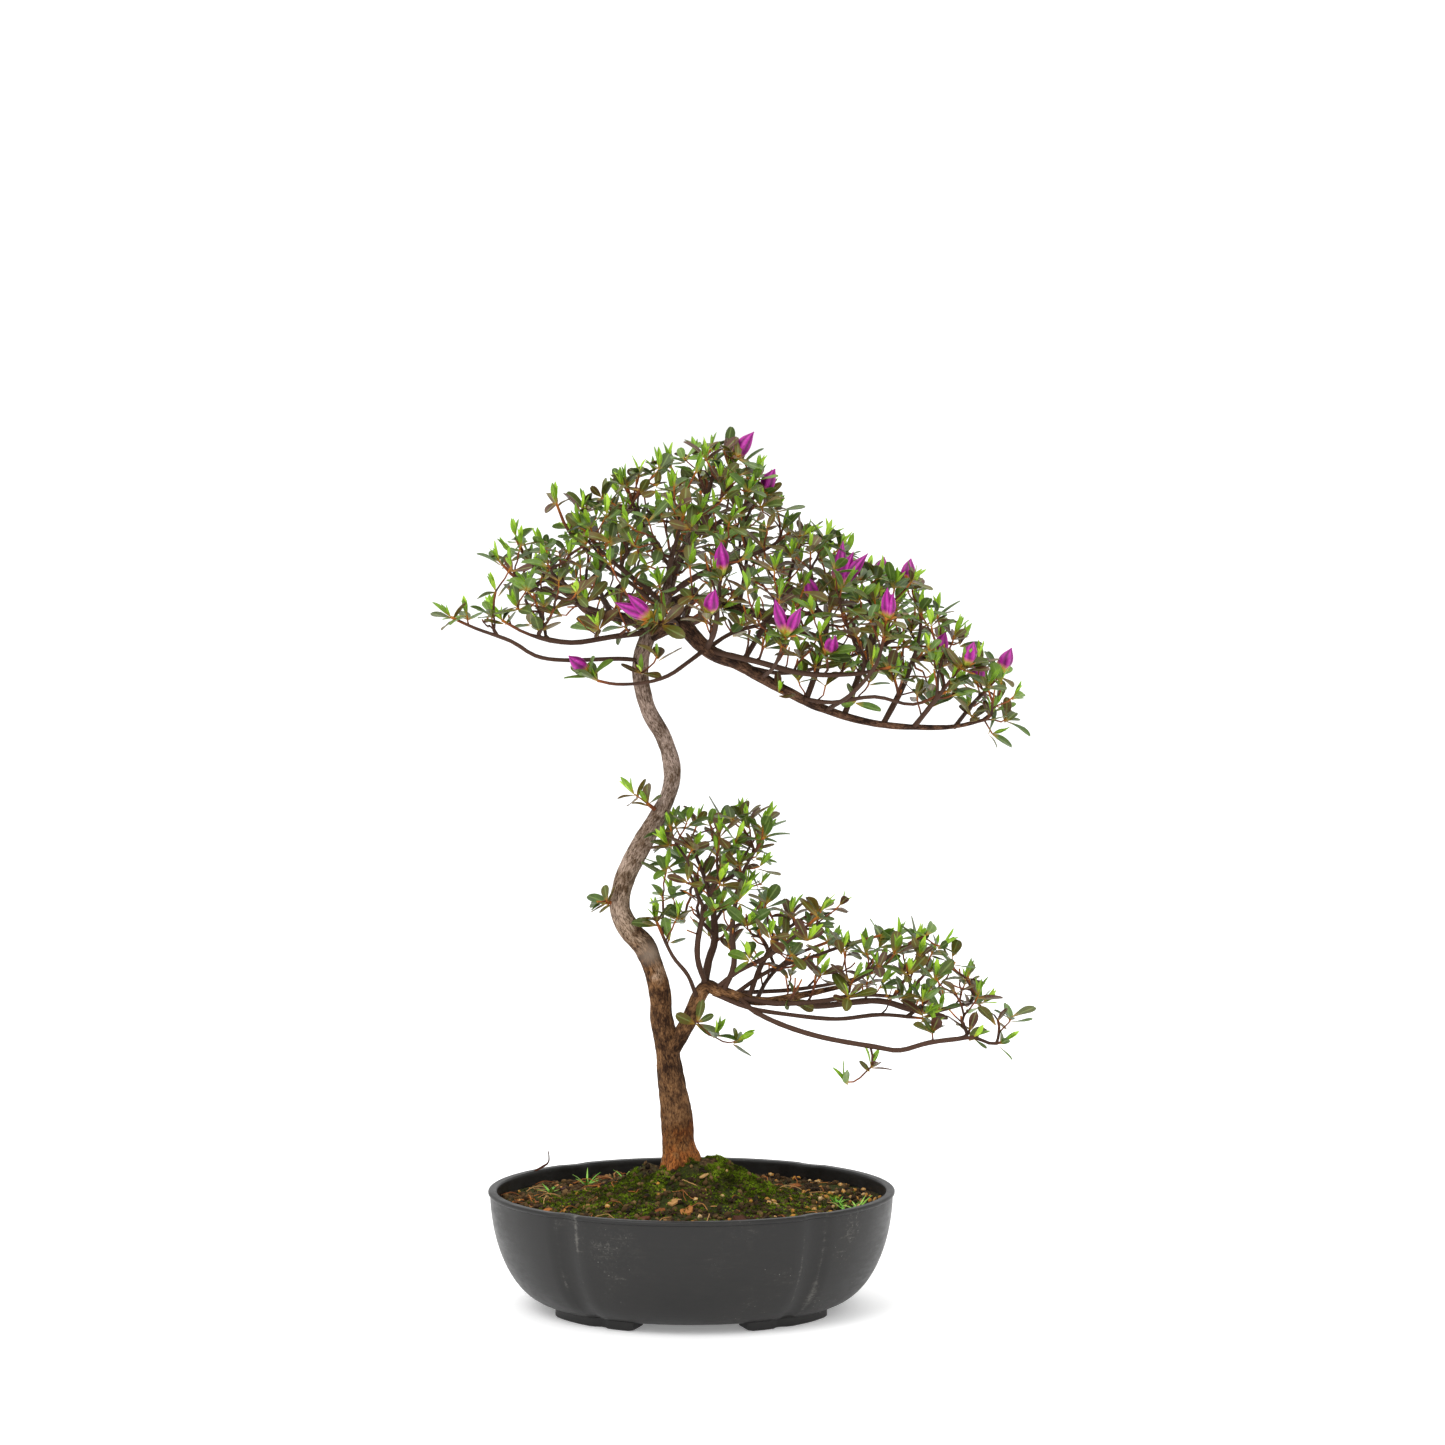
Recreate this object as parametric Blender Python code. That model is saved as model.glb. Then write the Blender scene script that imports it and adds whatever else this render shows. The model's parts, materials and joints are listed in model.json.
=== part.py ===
"""A flowering azalea bonsai in an oval pot with four soft lobes.

Metres, +Z up, +X to the right and -Y to the front. The tables of routes are in millimetres,
measured from the pot's middle and, upwards, from the plane of its rim. At the end everything is
moved so that the origin is the bottom centre of the whole plant's box.
"""
import math

import bmesh
import bpy
from mathutils import Vector

MM = 0.001
UP = Vector((0.0, 0.0, 1.0))
RIGHT = Vector((1.0, 0.0, 0.0))
DIAGONAL = Vector((1.0, 1.0, 0.0)).normalized()

# Clearance between pieces that touch, and for soil, grit and moss, which are rougher
GAP = 0.0003
LOOSE_GAP = 0.0009

# Pot: moulded oval bowl with four grooves, four feet and two drain holes
POT_LENGTH = 0.260
POT_WIDTH = 0.201
POT_HEIGHT = 0.0765
BASE_LENGTH = 0.180
BASE_WIDTH = 0.139
WALL = 0.0045
FLOOR = 0.0045
FOOT_HEIGHT = 0.005
FOOT_BAND = 0.012
FOOT_HALF_ANGLE = math.radians(22.5)
LIP_HEIGHT = 0.003
LIP_REACH = 0.0012
GROOVE_ANGLE = math.radians(52.5)
GROOVE_DEPTH = 0.0026
GROOVE_HALF_ANGLE = math.radians(6.0)
DRAIN_RADIUS = 0.007
DRAIN_SPACING = 0.090
POT_STEPS = 48
BOWL_RINGS = 5
DRAIN_SIDES = 16

# What lies in the pot
SCREEN_MARGIN = 0.004
SCREEN_THICKNESS = 0.0010
GRIT_DEPTH = 0.009
SOIL_DROP_FRONT = 0.0045
SOIL_DROP_BACK = 0.0100
MOUND_HEIGHT = 0.0210
MOUND_RADIUS = 0.050
LUMP_HEIGHT = 0.0012
SOIL_STEPS = 48
SOIL_SHARES = (0.08, 0.24, 0.36, 0.50, 0.66, 0.83, 1.0)
SOIL_SIDE_SHARES = (0.3, 0.65)
MOSS_THICKNESS = 0.0030
MOSS_EDGE_SHARE = 0.45
CHIP_LENGTH = 0.011
CHIP_WIDTH = 0.006
CHIP_THICKNESS = 0.0028
GRASS_BLADE = 0.012
GRASS_BLADE_WIDTH = 0.0016
GRASS_BLADE_THICKNESS = 0.0010
GRASS_CLUMP = 0.0022

# Wood: how thick it is, and how far it reaches to the front and the back, against the tables below
GIRTH = 1.0
FRONT_BACK_SPREAD = 1.5
TRUNK_SIDES = 10
LIMB_SIDES = 8
TRUNK_STEP = 0.016
LIMB_STEP = 0.016
SPRAY_STEP = 0.015
STUB = 0.0025

# Root flare: where the trunk's radius grows past the first value its section turns ridged
FLARE_START = 0.0100
FLARE_FULL = 0.0145
FLARE_RIDGE = 0.14

# Leafy shoots
SPRAY_BASE_RADIUS = 0.0017
SPRAY_TIP_RADIUS = 0.0009
SHOOT_LENGTH = 0.012
SHOOT_RADIUS = 0.0008
LEAF_LENGTH = 0.0135
LEAF_WIDTH = 0.0056
LEAF_THICKNESS = 0.0008
LEAF_PITCH = math.radians(52.0)
FLOWER_LEAF_PITCH = math.radians(76.0)
SPIKE_LENGTH = 0.0080
GOLDEN_ANGLE = math.radians(137.5)
FIRST_SHOOT = 0.42
LAST_SHOOT = 0.92
LONE_SHOOT = 0.60
SPREAD_ROUNDS = 120

# Flower buds
BUD_RADIUS = 0.0044
BUD_SIDES = 6
BUD_PROFILE = ((0.0, 0.30), (0.16, 0.62), (0.42, 1.0), (0.68, 0.92), (0.90, 0.50), (1.0, 0.14))

# Trunk: x, y, height above the rim, radius
TRUNK_ROUTE = (
    (-7, 8, -18, 14),
    (-7, 8, 2, 15.5),
    (-8, 8, 14, 13.0),
    (-9, 8, 25, 10.6),
    (-9, 8, 40, 9.9),
    (-12, 7, 62, 9.2),
    (-15, 6, 84, 8.0),
    (-19, 4, 110, 7.1),
    (-20, 3, 126, 6.9),
    (-28, 0, 153, 7.3),
    (-39, -1, 167, 7.1),
    (-45, -2, 182, 6.5),
    (-41, 0, 201, 6.4),
    (-30, 4, 223, 6.2),
    (-16, 7, 248, 5.5),
    (-12, 8, 266, 5.1),
    (-17, 6, 286, 5.1),
    (-28, 1, 310, 5.3),
    (-32, 0, 334, 5.2),
    (-27, 1, 353, 5.1),
    (-18, 3, 373, 4.2),
    (-11, 6, 394, 3.3),
    (-3, 7, 412, 2.6),
    (10, 5, 440, 1.6),
)

# Limbs that leave the trunk: x, y, height above the rim, radius; the first point is inside the trunk
LIMB_ROUTES = {
    "lower_limb": (
        (-15, 6, 84, 5.6),
        (-4, 2, 103, 5.4),
        (8, -1, 129, 4.6),
        (20, -3, 127, 3.7),
        (41, -5, 122, 2.9),
        (60, -6, 124, 2.4),
        (97, -6, 132, 1.5),
    ),
    "upper_right_limb": (
        (-27, 1, 352, 4.4),
        (-16, -1, 359, 5.6),
        (-5, -3, 360, 6.0),
        (10, -7, 346, 5.8),
        (31, -11, 336, 5.0),
        (59, -16, 321, 4.2),
        (85, -18, 309, 3.5),
        (120, -19, 300, 2.8),
        (160, -16, 298, 1.8),
        (184, -12, 302, 1.2),
    ),
    "upper_left_limb": (
        (-26, 1, 356, 3.4),
        (-40, 4, 364, 3.4),
        (-63, 8, 368, 3.0),
        (-76, 12, 378, 2.5),
        (-102, 18, 397, 1.5),
    ),
    "upper_back_limb": (
        (-20, 3, 368, 3.2),
        (-12, 16, 374, 3.1),
        (5, 26, 375, 2.8),
        (30, 33, 368, 2.5),
        (60, 37, 357, 2.1),
        (112, 40, 338, 1.4),
    ),
}

# Leafy branches: what each grows on, how many side shoots it has, and its route
SPRAYS = {
    "crown_top_spray": ("trunk", 2, (
        (10, 5, 440), (13, 3, 452), (15, 0, 464),
    )),
    "crown_left_spray": ("trunk", 3, (
        (-11, 6, 394), (-24, 0, 412), (-34, -4, 432), (-41, -6, 450),
    )),
    "crown_right_spray": ("trunk", 2, (
        (-3, 7, 412), (16, 6, 424), (34, 6, 436), (46, 4, 446),
    )),
    "crown_back_spray": ("trunk", 3, (
        (-3, 7, 410), (0, 26, 420), (4, 42, 432), (6, 50, 444),
    )),
    "crown_front_spray": ("trunk", 2, (
        (-14, 5, 386), (-13, -14, 400), (-8, -30, 418), (-4, -38, 432),
    )),
    "heart_left_spray": ("trunk", 3, (
        (-18, 3, 375), (-38, -8, 392), (-56, -14, 408), (-68, -16, 424),
    )),
    "heart_front_spray": ("upper_right_limb", 1, (
        (-8, -3, 360), (-11, -22, 365), (-18, -38, 366),
    )),
    "heart_right_spray": ("upper_right_limb", 2, (
        (10, -7, 346), (15, -26, 360), (18, -36, 382),
    )),
    "shoulder_spray": ("upper_right_limb", 3, (
        (31, -11, 336), (46, -2, 360), (60, 2, 386), (68, 3, 412),
    )),
    "left_tip_spray": ("trunk", 3, (
        (-32, 0, 338), (-46, -8, 340), (-79, -16, 340), (-97, -18, 343), (-112, -18, 352),
        (-134, -18, 360), (-150, -16, 367),
    )),
    "left_outer_spray": ("upper_left_limb", 2, (
        (-102, 18, 397), (-108, 19, 406), (-112, 20, 415),
    )),
    "left_mid_spray": ("upper_left_limb", 2, (
        (-63, 8, 368), (-76, -6, 384), (-90, -12, 396),
    )),
    "left_back_spray": ("upper_left_limb", 3, (
        (-50, 6, 366), (-58, 30, 378), (-60, 46, 392), (-56, 56, 408),
    )),
    "front_loop_spray": ("upper_right_limb", 1, (
        (9, -7, 346), (-3, -18, 338), (-14, -22, 331), (-28, -25, 327), (-46, -25, 326),
        (-58, -23, 328),
    )),
    "back_mid_spray": ("upper_back_limb", 3, (
        (30, 33, 368), (34, 46, 388), (36, 54, 408), (32, 58, 424),
    )),
    "back_far_spray": ("upper_back_limb", 3, (
        (112, 40, 338), (128, 39, 346), (144, 34, 358),
    )),
    "right_mid_front_spray": ("upper_right_limb", 2, (
        (45, -14, 329), (52, -32, 338), (57, -44, 352),
    )),
    "right_mid_spray": ("upper_right_limb", 2, (
        (72, -17, 315), (80, -14, 338), (88, -14, 374),
    )),
    "right_upper_spray": ("upper_right_limb", 2, (
        (96, -18, 306), (106, -4, 330), (114, 4, 354), (118, 4, 376),
    )),
    "right_front_spray": ("upper_right_limb", 2, (
        (85, -18, 309), (100, -38, 322), (114, -44, 340), (119, -45, 358),
    )),
    "right_outer_up_spray": ("upper_right_limb", 3, (
        (120, -19, 300), (134, -6, 324), (144, 6, 350), (146, 8, 372),
    )),
    "right_outer_mid_spray": ("upper_right_limb", 2, (
        (140, -18, 299), (150, -28, 314), (162, -30, 330),
    )),
    "right_tip_spray": ("upper_right_limb", 2, (
        (184, -12, 302), (188, -10, 305), (191, -9, 310),
    )),
    "right_tip_up_spray": ("upper_right_limb", 1, (
        (165, -16, 298), (178, 2, 310), (190, 4, 322),
    )),
    "lower_riser_left_spray": ("lower_limb", 4, (
        (8, -1, 129), (11, 4, 146), (15, 8, 160), (12, 12, 186), (2, 13, 214),
    )),
    "lower_riser_right_spray": ("lower_limb", 4, (
        (20, -3, 127), (27, -8, 146), (26, -12, 170), (32, -14, 204), (46, -12, 228),
    )),
    "lower_side_spray": ("lower_limb", 3, (
        (36, -5, 123), (46, 4, 146), (62, 8, 166), (86, 8, 180),
    )),
    "lower_left_spray": ("lower_limb", 2, (
        (4, 0, 121), (-2, -12, 140), (-12, -16, 154), (-22, -16, 176),
    )),
    "lower_front_spray": ("lower_limb", 4, (
        (30, -4, 124), (41, -14, 116), (60, -22, 107), (84, -28, 100), (116, -33, 94),
        (131, -33, 92), (150, -31, 98), (177, -29, 103),
    )),
    "lower_mid_spray": ("lower_limb", 4, (
        (60, -6, 124), (72, 6, 117), (86, 12, 115), (120, 16, 117), (149, 16, 110), (178, 14, 116),
    )),
    "lower_end_spray": ("lower_limb", 3, (
        (97, -6, 132), (112, -8, 141), (126, -8, 152), (142, -8, 162),
    )),
    "lower_back_spray": ("lower_limb", 3, (
        (41, -5, 122), (50, 18, 132), (66, 34, 142), (90, 42, 150),
    )),
    "trunk_low_spray": ("trunk", 0, (
        (-45, -2, 182), (-54, -5, 186),
    )),
    "trunk_high_spray": ("trunk", 0, (
        (-20, 6, 240), (-28, 2, 247),
    )),
}

# Flower buds: the leafy branch that carries it, where its base is, where it points, its length
FLOWERS = {
    "flower_bud_crown": ("crown_top_spray", (25, -6, 464), (0.62, -0.1, 0.78), 20),
    "flower_bud_heart": ("heart_right_spray", (19, -44, 395), (0.0, -0.2, 1.0), 18),
    "flower_bud_left": ("heart_front_spray", (-23, -46, 368), (-0.80, -0.15, 0.58), 22),
    "flower_bud_centre": ("heart_right_spray", (11, -58, 372), (0.25, -0.4, 0.9), 15),
    "flower_bud_opening": ("right_mid_front_spray", (58, -56, 359), (0.1, -0.3, 0.95), 21),
    "flower_bud_tall": ("right_mid_spray", (90, -18, 384), (0.42, -0.1, 0.90), 27),
    "flower_bud_upper": ("right_upper_spray", (119, 2, 386), (0.15, -0.1, 0.98), 15),
    "flower_bud_front": ("right_front_spray", (120, -48, 368), (0.12, -0.3, 0.95), 18),
    "flower_bud_outer": ("right_outer_mid_spray", (170, -34, 338), (0.3, -0.2, 0.93), 14),
    "flower_bud_tip": ("right_tip_up_spray", (195, 2, 330), (0.42, -0.1, 0.90), 15),
    "flower_bud_low": ("front_loop_spray", (-63, -23, 332), (-0.72, -0.2, 0.66), 15),
}


def material(name, colour, roughness):
    """A Principled surface with one colour."""
    made = bpy.data.materials.new(name)
    made.use_nodes = True
    shader = made.node_tree.nodes["Principled BSDF"]
    shader.inputs["Base Color"].default_value = (*colour, 1.0)
    shader.inputs["Roughness"].default_value = roughness
    shader.inputs["Metallic"].default_value = 0.0
    return made


def make_materials():
    """One material for each kind of thing in the plant."""
    return {
        "pot": material("charcoal_plastic", (0.050, 0.050, 0.052), 0.55),
        "screen": material("green_mesh_plastic", (0.020, 0.045, 0.025), 0.60),
        "grit": material("pumice_grit", (0.45, 0.38, 0.28), 0.95),
        "soil": material("potting_soil", (0.060, 0.038, 0.022), 0.95),
        "moss": material("moss", (0.060, 0.095, 0.008), 0.95),
        "grass": material("grass", (0.15, 0.33, 0.04), 0.60),
        "bark_chip": material("bark_chip", (0.30, 0.14, 0.06), 0.90),
        "wood": material("bark", (0.18, 0.12, 0.08), 0.85),
        "leaf": material("leaf", (0.11, 0.17, 0.04), 0.45),
        "petal": material("petal", (0.42, 0.03, 0.29), 0.50),
    }


def scaled(point):
    """A point of the tables in metres, with its height taken from the rim."""
    return Vector((point[0] * MM, point[1] * MM * FRONT_BACK_SPREAD, POT_HEIGHT + point[2] * MM))


def spline(before, start, end, after, share):
    """A point between start and end on the smooth curve through all four."""
    cubic = (3.0 * (start - end) + after - before) * share ** 3
    square = (2.0 * before - 5.0 * start + 4.0 * end - after) * share ** 2
    return 0.5 * (2.0 * start + (end - before) * share + square + cubic)


def smooth_route(points, step):
    """Points and radii about a step apart on a smooth curve through the given (point, radius) pairs."""
    knots = [Vector((*point, radius)) for point, radius in points]
    knots.insert(0, 2.0 * knots[0] - knots[1])
    knots.append(2.0 * knots[-1] - knots[-2])
    route = []
    for index in range(1, len(knots) - 2):
        span = (knots[index + 1].xyz - knots[index].xyz).length
        pieces = max(1, round(span / step))
        for piece in range(pieces):
            route.append(spline(*knots[index - 1:index + 3], piece / pieces))
    route.append(knots[-2])
    return [(knot.xyz, knot.w) for knot in route]


def tangents(route):
    """The direction of the route at each of its points."""
    points = [point for point, _ in route]
    ahead = points[1:] + [2.0 * points[-1] - points[-2]]
    behind = [2.0 * points[0] - points[1]] + points[:-1]
    return [(after - before).normalized() for after, before in zip(ahead, behind)]


def ring(centre, across, along, radius, sides):
    """Points of a circle about centre, across the direction along."""
    side = along.cross(across)
    turns = [2.0 * math.pi * index / sides for index in range(sides)]
    return [centre + radius * (math.cos(turn) * across + math.sin(turn) * side) for turn in turns]


def tube_rings(route, sides, start_across=None):
    """Rings of a tube along the route, without twist from one to the next."""
    directions = tangents(route)
    across = start_across or directions[0].orthogonal().normalized()
    rings = []
    for index, (centre, radius) in enumerate(route):
        if index:
            across = directions[index - 1].rotation_difference(directions[index]) @ across
        rings.append(ring(centre, across, directions[index], radius, sides))
    return rings


def extruded(bm, face, points):
    """Extrude the face and put the corners of its new end at the points, in order."""
    grown = bmesh.ops.extrude_discrete_faces(bm, faces=[face])["faces"][0]
    for corner, point in zip(grown.verts, points):
        corner.co = point
    return grown


def loft(bm, rings):
    """A closed solid through the rings, each extruded from the last; gives back its end face."""
    sides = len(rings[0])
    made = bmesh.ops.create_cone(bm, cap_ends=True, segments=sides, radius1=1.0, radius2=1.0, depth=2.0)
    turn = 2.0 * math.pi / sides
    for corner in made["verts"]:
        index = round(math.atan2(corner.co.y, corner.co.x) / turn) % sides
        level = 1 if corner.co.z > 0.0 else 0
        corner.index = index + sides * level
    places = rings[0] + rings[1]
    caps = [face for face in bm.faces if all(corner in made["verts"] for corner in face.verts)]
    end = max(caps, key=lambda face: face.normal.z)
    order = [corner.index % sides for corner in end.verts]
    for corner in made["verts"]:
        corner.co = places[corner.index]
    for points in rings[2:]:
        end = extruded(bm, end, [points[index] for index in order])
    return end


def finished(name, bm, surface):
    """Turn the bmesh into a named object with its material, smooth where it is round."""
    bmesh.ops.recalc_face_normals(bm, faces=bm.faces)
    mesh = bpy.data.meshes.new(name)
    bm.to_mesh(mesh)
    bm.free()
    mesh.shade_smooth()
    mesh.set_sharp_from_angle(angle=math.radians(50.0))
    mesh.materials.append(surface)
    made = bpy.data.objects.new(name, mesh)
    bpy.context.scene.collection.objects.link(made)
    return made


def cut_away(target, name, bm):
    """Cut the bmesh's solid out of the target; it stays as a hidden guide."""
    cutter = finished(name, bm, target.data.materials[0])
    cutter.hide_render = True
    cutter.display_type = "WIRE"
    cut = target.modifiers.new(name, "BOOLEAN")
    cut.operation = "DIFFERENCE"
    cut.solver = "EXACT"
    cut.object = cutter


def bowl_point(angle, level, inset):
    """A point of the bowl's side: level 0 at the bottom, 1 at the rim, moved in by the inset."""
    swell = math.sqrt(1.0 - (1.0 - level) ** 2)
    rim = (POT_LENGTH - 2.0 * LIP_REACH, POT_WIDTH - 2.0 * LIP_REACH)
    halves = [0.5 * (low + (high - low) * swell) for low, high in zip((BASE_LENGTH, BASE_WIDTH), rim)]
    from_groove = math.acos(min(1.0, abs(math.cos(angle)))) - GROOVE_ANGLE
    inset += GROOVE_DEPTH * math.exp(-(from_groove / GROOVE_HALF_ANGLE) ** 2)
    return Vector(((halves[0] - inset) * math.cos(angle), (halves[1] - inset) * math.sin(angle), 0.0))


def around(steps):
    """Angles of a full turn in equal steps."""
    return [2.0 * math.pi * index / steps for index in range(steps)]


def bowl_ring(level, inset, height, steps=POT_STEPS):
    """A ring of the bowl at the height."""
    return [bowl_point(angle, level, inset) + height * UP for angle in around(steps)]


def bowl_height(level):
    """Height of the bowl's side at the level."""
    return FOOT_HEIGHT + level * (POT_HEIGHT - FOOT_HEIGHT)


def bowl_level(height):
    """Level of the bowl's side at the height."""
    return (height - FOOT_HEIGHT) / (POT_HEIGHT - FOOT_HEIGHT)


def drain_places():
    """Middles of the drain holes."""
    return [Vector((side * DRAIN_SPACING / 2.0, 0.0, 0.0)) for side in (-1.0, 1.0)]


def side_levels(start):
    """Levels of the rings that make the bowl's side, from the start up to the lip."""
    lip_bottom = bowl_level(POT_HEIGHT - LIP_HEIGHT)
    shares = [(index / BOWL_RINGS) ** 1.5 for index in range(BOWL_RINGS + 1)]
    return [start + (lip_bottom - start) * share for share in shares]


def make_pot(surface):
    """The bowl with its lip, floor, four feet and two drain holes."""
    rings = [bowl_ring(0.0, FOOT_BAND, FOOT_HEIGHT)]
    for level in side_levels(0.0):
        rings.append(bowl_ring(level, 0.0, bowl_height(level)))
    rings.append(bowl_ring(level, -LIP_REACH, POT_HEIGHT - LIP_HEIGHT))
    rings.append(bowl_ring(1.0, -LIP_REACH, POT_HEIGHT - LIP_REACH))
    rings.append(bowl_ring(1.0, 0.0, POT_HEIGHT))
    rings.append(bowl_ring(1.0, WALL, POT_HEIGHT))
    for level in reversed(side_levels(bowl_level(FOOT_HEIGHT + FLOOR))):
        rings.append(bowl_ring(level, WALL, bowl_height(level)))
    bm = bmesh.new()
    loft(bm, rings)
    add_feet(bm)
    pot = finished("pot", bm, surface)
    for index, place in enumerate(drain_places()):
        ends = [place, place + (FOOT_HEIGHT + 2.0 * FLOOR) * UP]
        bm = bmesh.new()
        loft(bm, [ring(end, RIGHT, UP, DRAIN_RADIUS, DRAIN_SIDES) for end in ends])
        cut_away(pot, f"drain_cutter_{index + 1}", bm)


def add_feet(bm):
    """Extrude the four feet down from the outer band of the underside."""
    for corner in range(4):
        middle = math.pi / 4.0 + corner * math.pi / 2.0
        band = [face for face in bm.faces if is_foot_face(face, middle)]
        grown = bmesh.ops.extrude_face_region(bm, geom=band)["geom"]
        moved = [item for item in grown if isinstance(item, bmesh.types.BMVert)]
        bmesh.ops.delete(bm, geom=band, context="FACES")
        bmesh.ops.translate(bm, verts=moved, vec=-FOOT_HEIGHT * UP)


def is_foot_face(face, middle):
    """Whether the face is in the band of the underside within a foot's arc."""
    centre = face.calc_center_median()
    if abs(centre.z - FOOT_HEIGHT) > GAP or len(face.verts) != 4:
        return False
    angle = math.atan2(centre.y / BASE_WIDTH, centre.x / BASE_LENGTH)
    offset = (angle - middle + math.pi) % (2.0 * math.pi) - math.pi
    return abs(offset) < FOOT_HALF_ANGLE


def filling_point(angle, height):
    """A point of what fills the pot at a height, clear of the straight run of wall beside it."""
    levels = side_levels(bowl_level(FOOT_HEIGHT + FLOOR)) + [1.0]
    wanted = bowl_level(height)
    above = next(index for index, level in enumerate(levels) if index and level >= wanted)
    low, high = levels[above - 1:above + 1]
    ends = [bowl_point(angle, level, WALL + LOOSE_GAP) for level in (low, high)]
    return ends[0].lerp(ends[1], (wanted - low) / (high - low)) + height * UP


def filling_ring(height, steps):
    """The outline of what fills the pot at a height."""
    return [filling_point(angle, height) for angle in around(steps)]


def square_block(place, half, bottom, top):
    """A bmesh with an upright square block."""
    bm = bmesh.new()
    loft(bm, [ring(place + level * UP, DIAGONAL, UP, half * math.sqrt(2.0), 4) for level in (bottom, top)])
    return bm


def make_screens(surface):
    """Square mesh plates over the drain holes."""
    bottom = FOOT_HEIGHT + FLOOR + GAP
    for name, place in zip(("drain_screen_left", "drain_screen_right"), drain_places()):
        plate = square_block(place, DRAIN_RADIUS + SCREEN_MARGIN, bottom, bottom + SCREEN_THICKNESS)
        finished(name, plate, surface)


def make_grit(surface):
    """The drainage layer, with a pocket for each screen."""
    bottom = FOOT_HEIGHT + FLOOR + GAP
    bm = bmesh.new()
    loft(bm, [filling_ring(bottom + share * GRIT_DEPTH, POT_STEPS) for share in (0.0, 0.4, 1.0)])
    grit = finished("drainage_grit", bm, surface)
    for index, place in enumerate(drain_places()):
        top = bottom + SCREEN_THICKNESS + GAP
        pocket = square_block(place, DRAIN_RADIUS + SCREEN_MARGIN + GAP, bottom - FLOOR / 2.0, top)
        cut_away(grit, f"screen_pocket_{index + 1}", pocket)


def soil_point(angle, share):
    """A point of the soil's top: share 0 at the trunk and 1 at the pot's wall."""
    frontness = (0.5 - 0.5 * math.sin(angle)) ** 2
    drop = SOIL_DROP_BACK + (SOIL_DROP_FRONT - SOIL_DROP_BACK) * frontness
    edge = filling_point(angle, POT_HEIGHT - drop)
    foot = scaled(TRUNK_ROUTE[1])
    foot.z = edge.z
    place = foot.lerp(edge, share)
    fall = math.exp(-((place - foot).length / MOUND_RADIUS) ** 2)
    mound = (MOUND_HEIGHT - 0.3 * drop) * fall * (1.0 - share ** 4)
    lumps = LUMP_HEIGHT * math.sin(5.0 * angle + 9.0 * share) * (1.0 - share ** 2)
    return place + (mound + lumps) * UP


def make_soil(surface, trunk_route):
    """The root ball, mounded round the trunk, which it is cut to fit."""
    bottom = FOOT_HEIGHT + FLOOR + GRIT_DEPTH + 2.0 * GAP
    edge = POT_HEIGHT - SOIL_DROP_BACK
    rings = [filling_ring(bottom + share * (edge - bottom), SOIL_STEPS) for share in (0.0, *SOIL_SIDE_SHARES)]
    for share in reversed(SOIL_SHARES):
        rings.append([soil_point(angle, share) for angle in around(SOIL_STEPS)])
    bm = bmesh.new()
    loft(bm, rings)
    soil = finished("soil", bm, surface)
    cut_away(soil, "trunk_socket", trunk_solid(trunk_route, GAP))


def make_moss(name, surface, first, last, near, far):
    """A moss cushion on the soil from one step of angle, and of share, to another."""
    bm = bmesh.new()
    angles = around(SOIL_STEPS)[first:last + 1]
    rows = [[bm.verts.new(soil_point(angle, share) + 2.0 * GAP * UP) for angle in angles]
            for share in SOIL_SHARES[near:far + 1]]
    bed = []
    for inner, outer in zip(rows, rows[1:]):
        for index in range(len(angles) - 1):
            bed.append(bm.faces.new((inner[index], outer[index], outer[index + 1], inner[index + 1])))
    centre = sum((corner.co for corner in bm.verts), Vector()) / len(bm.verts)
    reach = max((corner.co - centre).length for corner in bm.verts)
    grown = bmesh.ops.extrude_face_region(bm, geom=bed, use_keep_orig=True)["geom"]
    for item in grown:
        if isinstance(item, bmesh.types.BMVert):
            edgeness = ((item.co - centre).length / reach) ** 2
            item.co += MOSS_THICKNESS * (1.0 + (MOSS_EDGE_SHARE - 1.0) * edgeness) * UP
    finished(name, bm, surface)


def make_grass(name, surface, angle, share):
    """A tuft of four pointed blades on one small clump."""
    foot = soil_point(angle, share) + 4.0 * GAP * UP
    bm = bmesh.new()
    low = ring(foot, RIGHT, UP, GRASS_CLUMP, 4)
    high = ring(foot + GRASS_CLUMP * UP, RIGHT, UP, 0.8 * GRASS_CLUMP, 4)
    loft(bm, [low, high])
    bm.normal_update()
    sides = [face for face in bm.faces if abs(face.normal.z) < 0.5]
    for face in sides:
        lean = (face.normal + 0.9 * UP).normalized()
        grow_blade(bm, face, lean)
    finished(name, bm, surface)


def grow_blade(bm, face, direction):
    """A thin pointed blade grown out of a face."""
    centre = face.calc_center_median()
    across = direction.cross(UP).normalized()
    middle = centre + 0.3 * GRASS_BLADE * direction
    tip = centre + GRASS_BLADE * direction
    grown = reshaped(bm, face, middle, direction, across, GRASS_BLADE_WIDTH, GRASS_BLADE_THICKNESS)
    reshaped(bm, grown, tip, direction, across, 0.4 * GRASS_BLADE_WIDTH, 0.5 * GRASS_BLADE_THICKNESS)


def reshaped(bm, face, centre, direction, across, width, thickness):
    """Extrude a four-sided face and give its end a new place, direction, width and thickness."""
    face.normal_update()
    turn = face.normal.rotation_difference(direction)
    middle = face.calc_center_median()
    offsets = [(turn @ (corner.co - middle)).normalized() for corner in face.verts]
    side = 0.5 * width * across
    flat = 0.5 * thickness * direction.cross(across)
    corners = [side + flat, flat - side, -side - flat, side - flat]

    def agreement(start):
        turned = [corners[(start + index) % 4].normalized() for index in range(4)]
        return sum(offset.dot(corner) for offset, corner in zip(offsets, turned))
    start = max(range(4), key=agreement)
    return extruded(bm, face, [centre + corners[(start + index) % 4] for index in range(4)])


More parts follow.
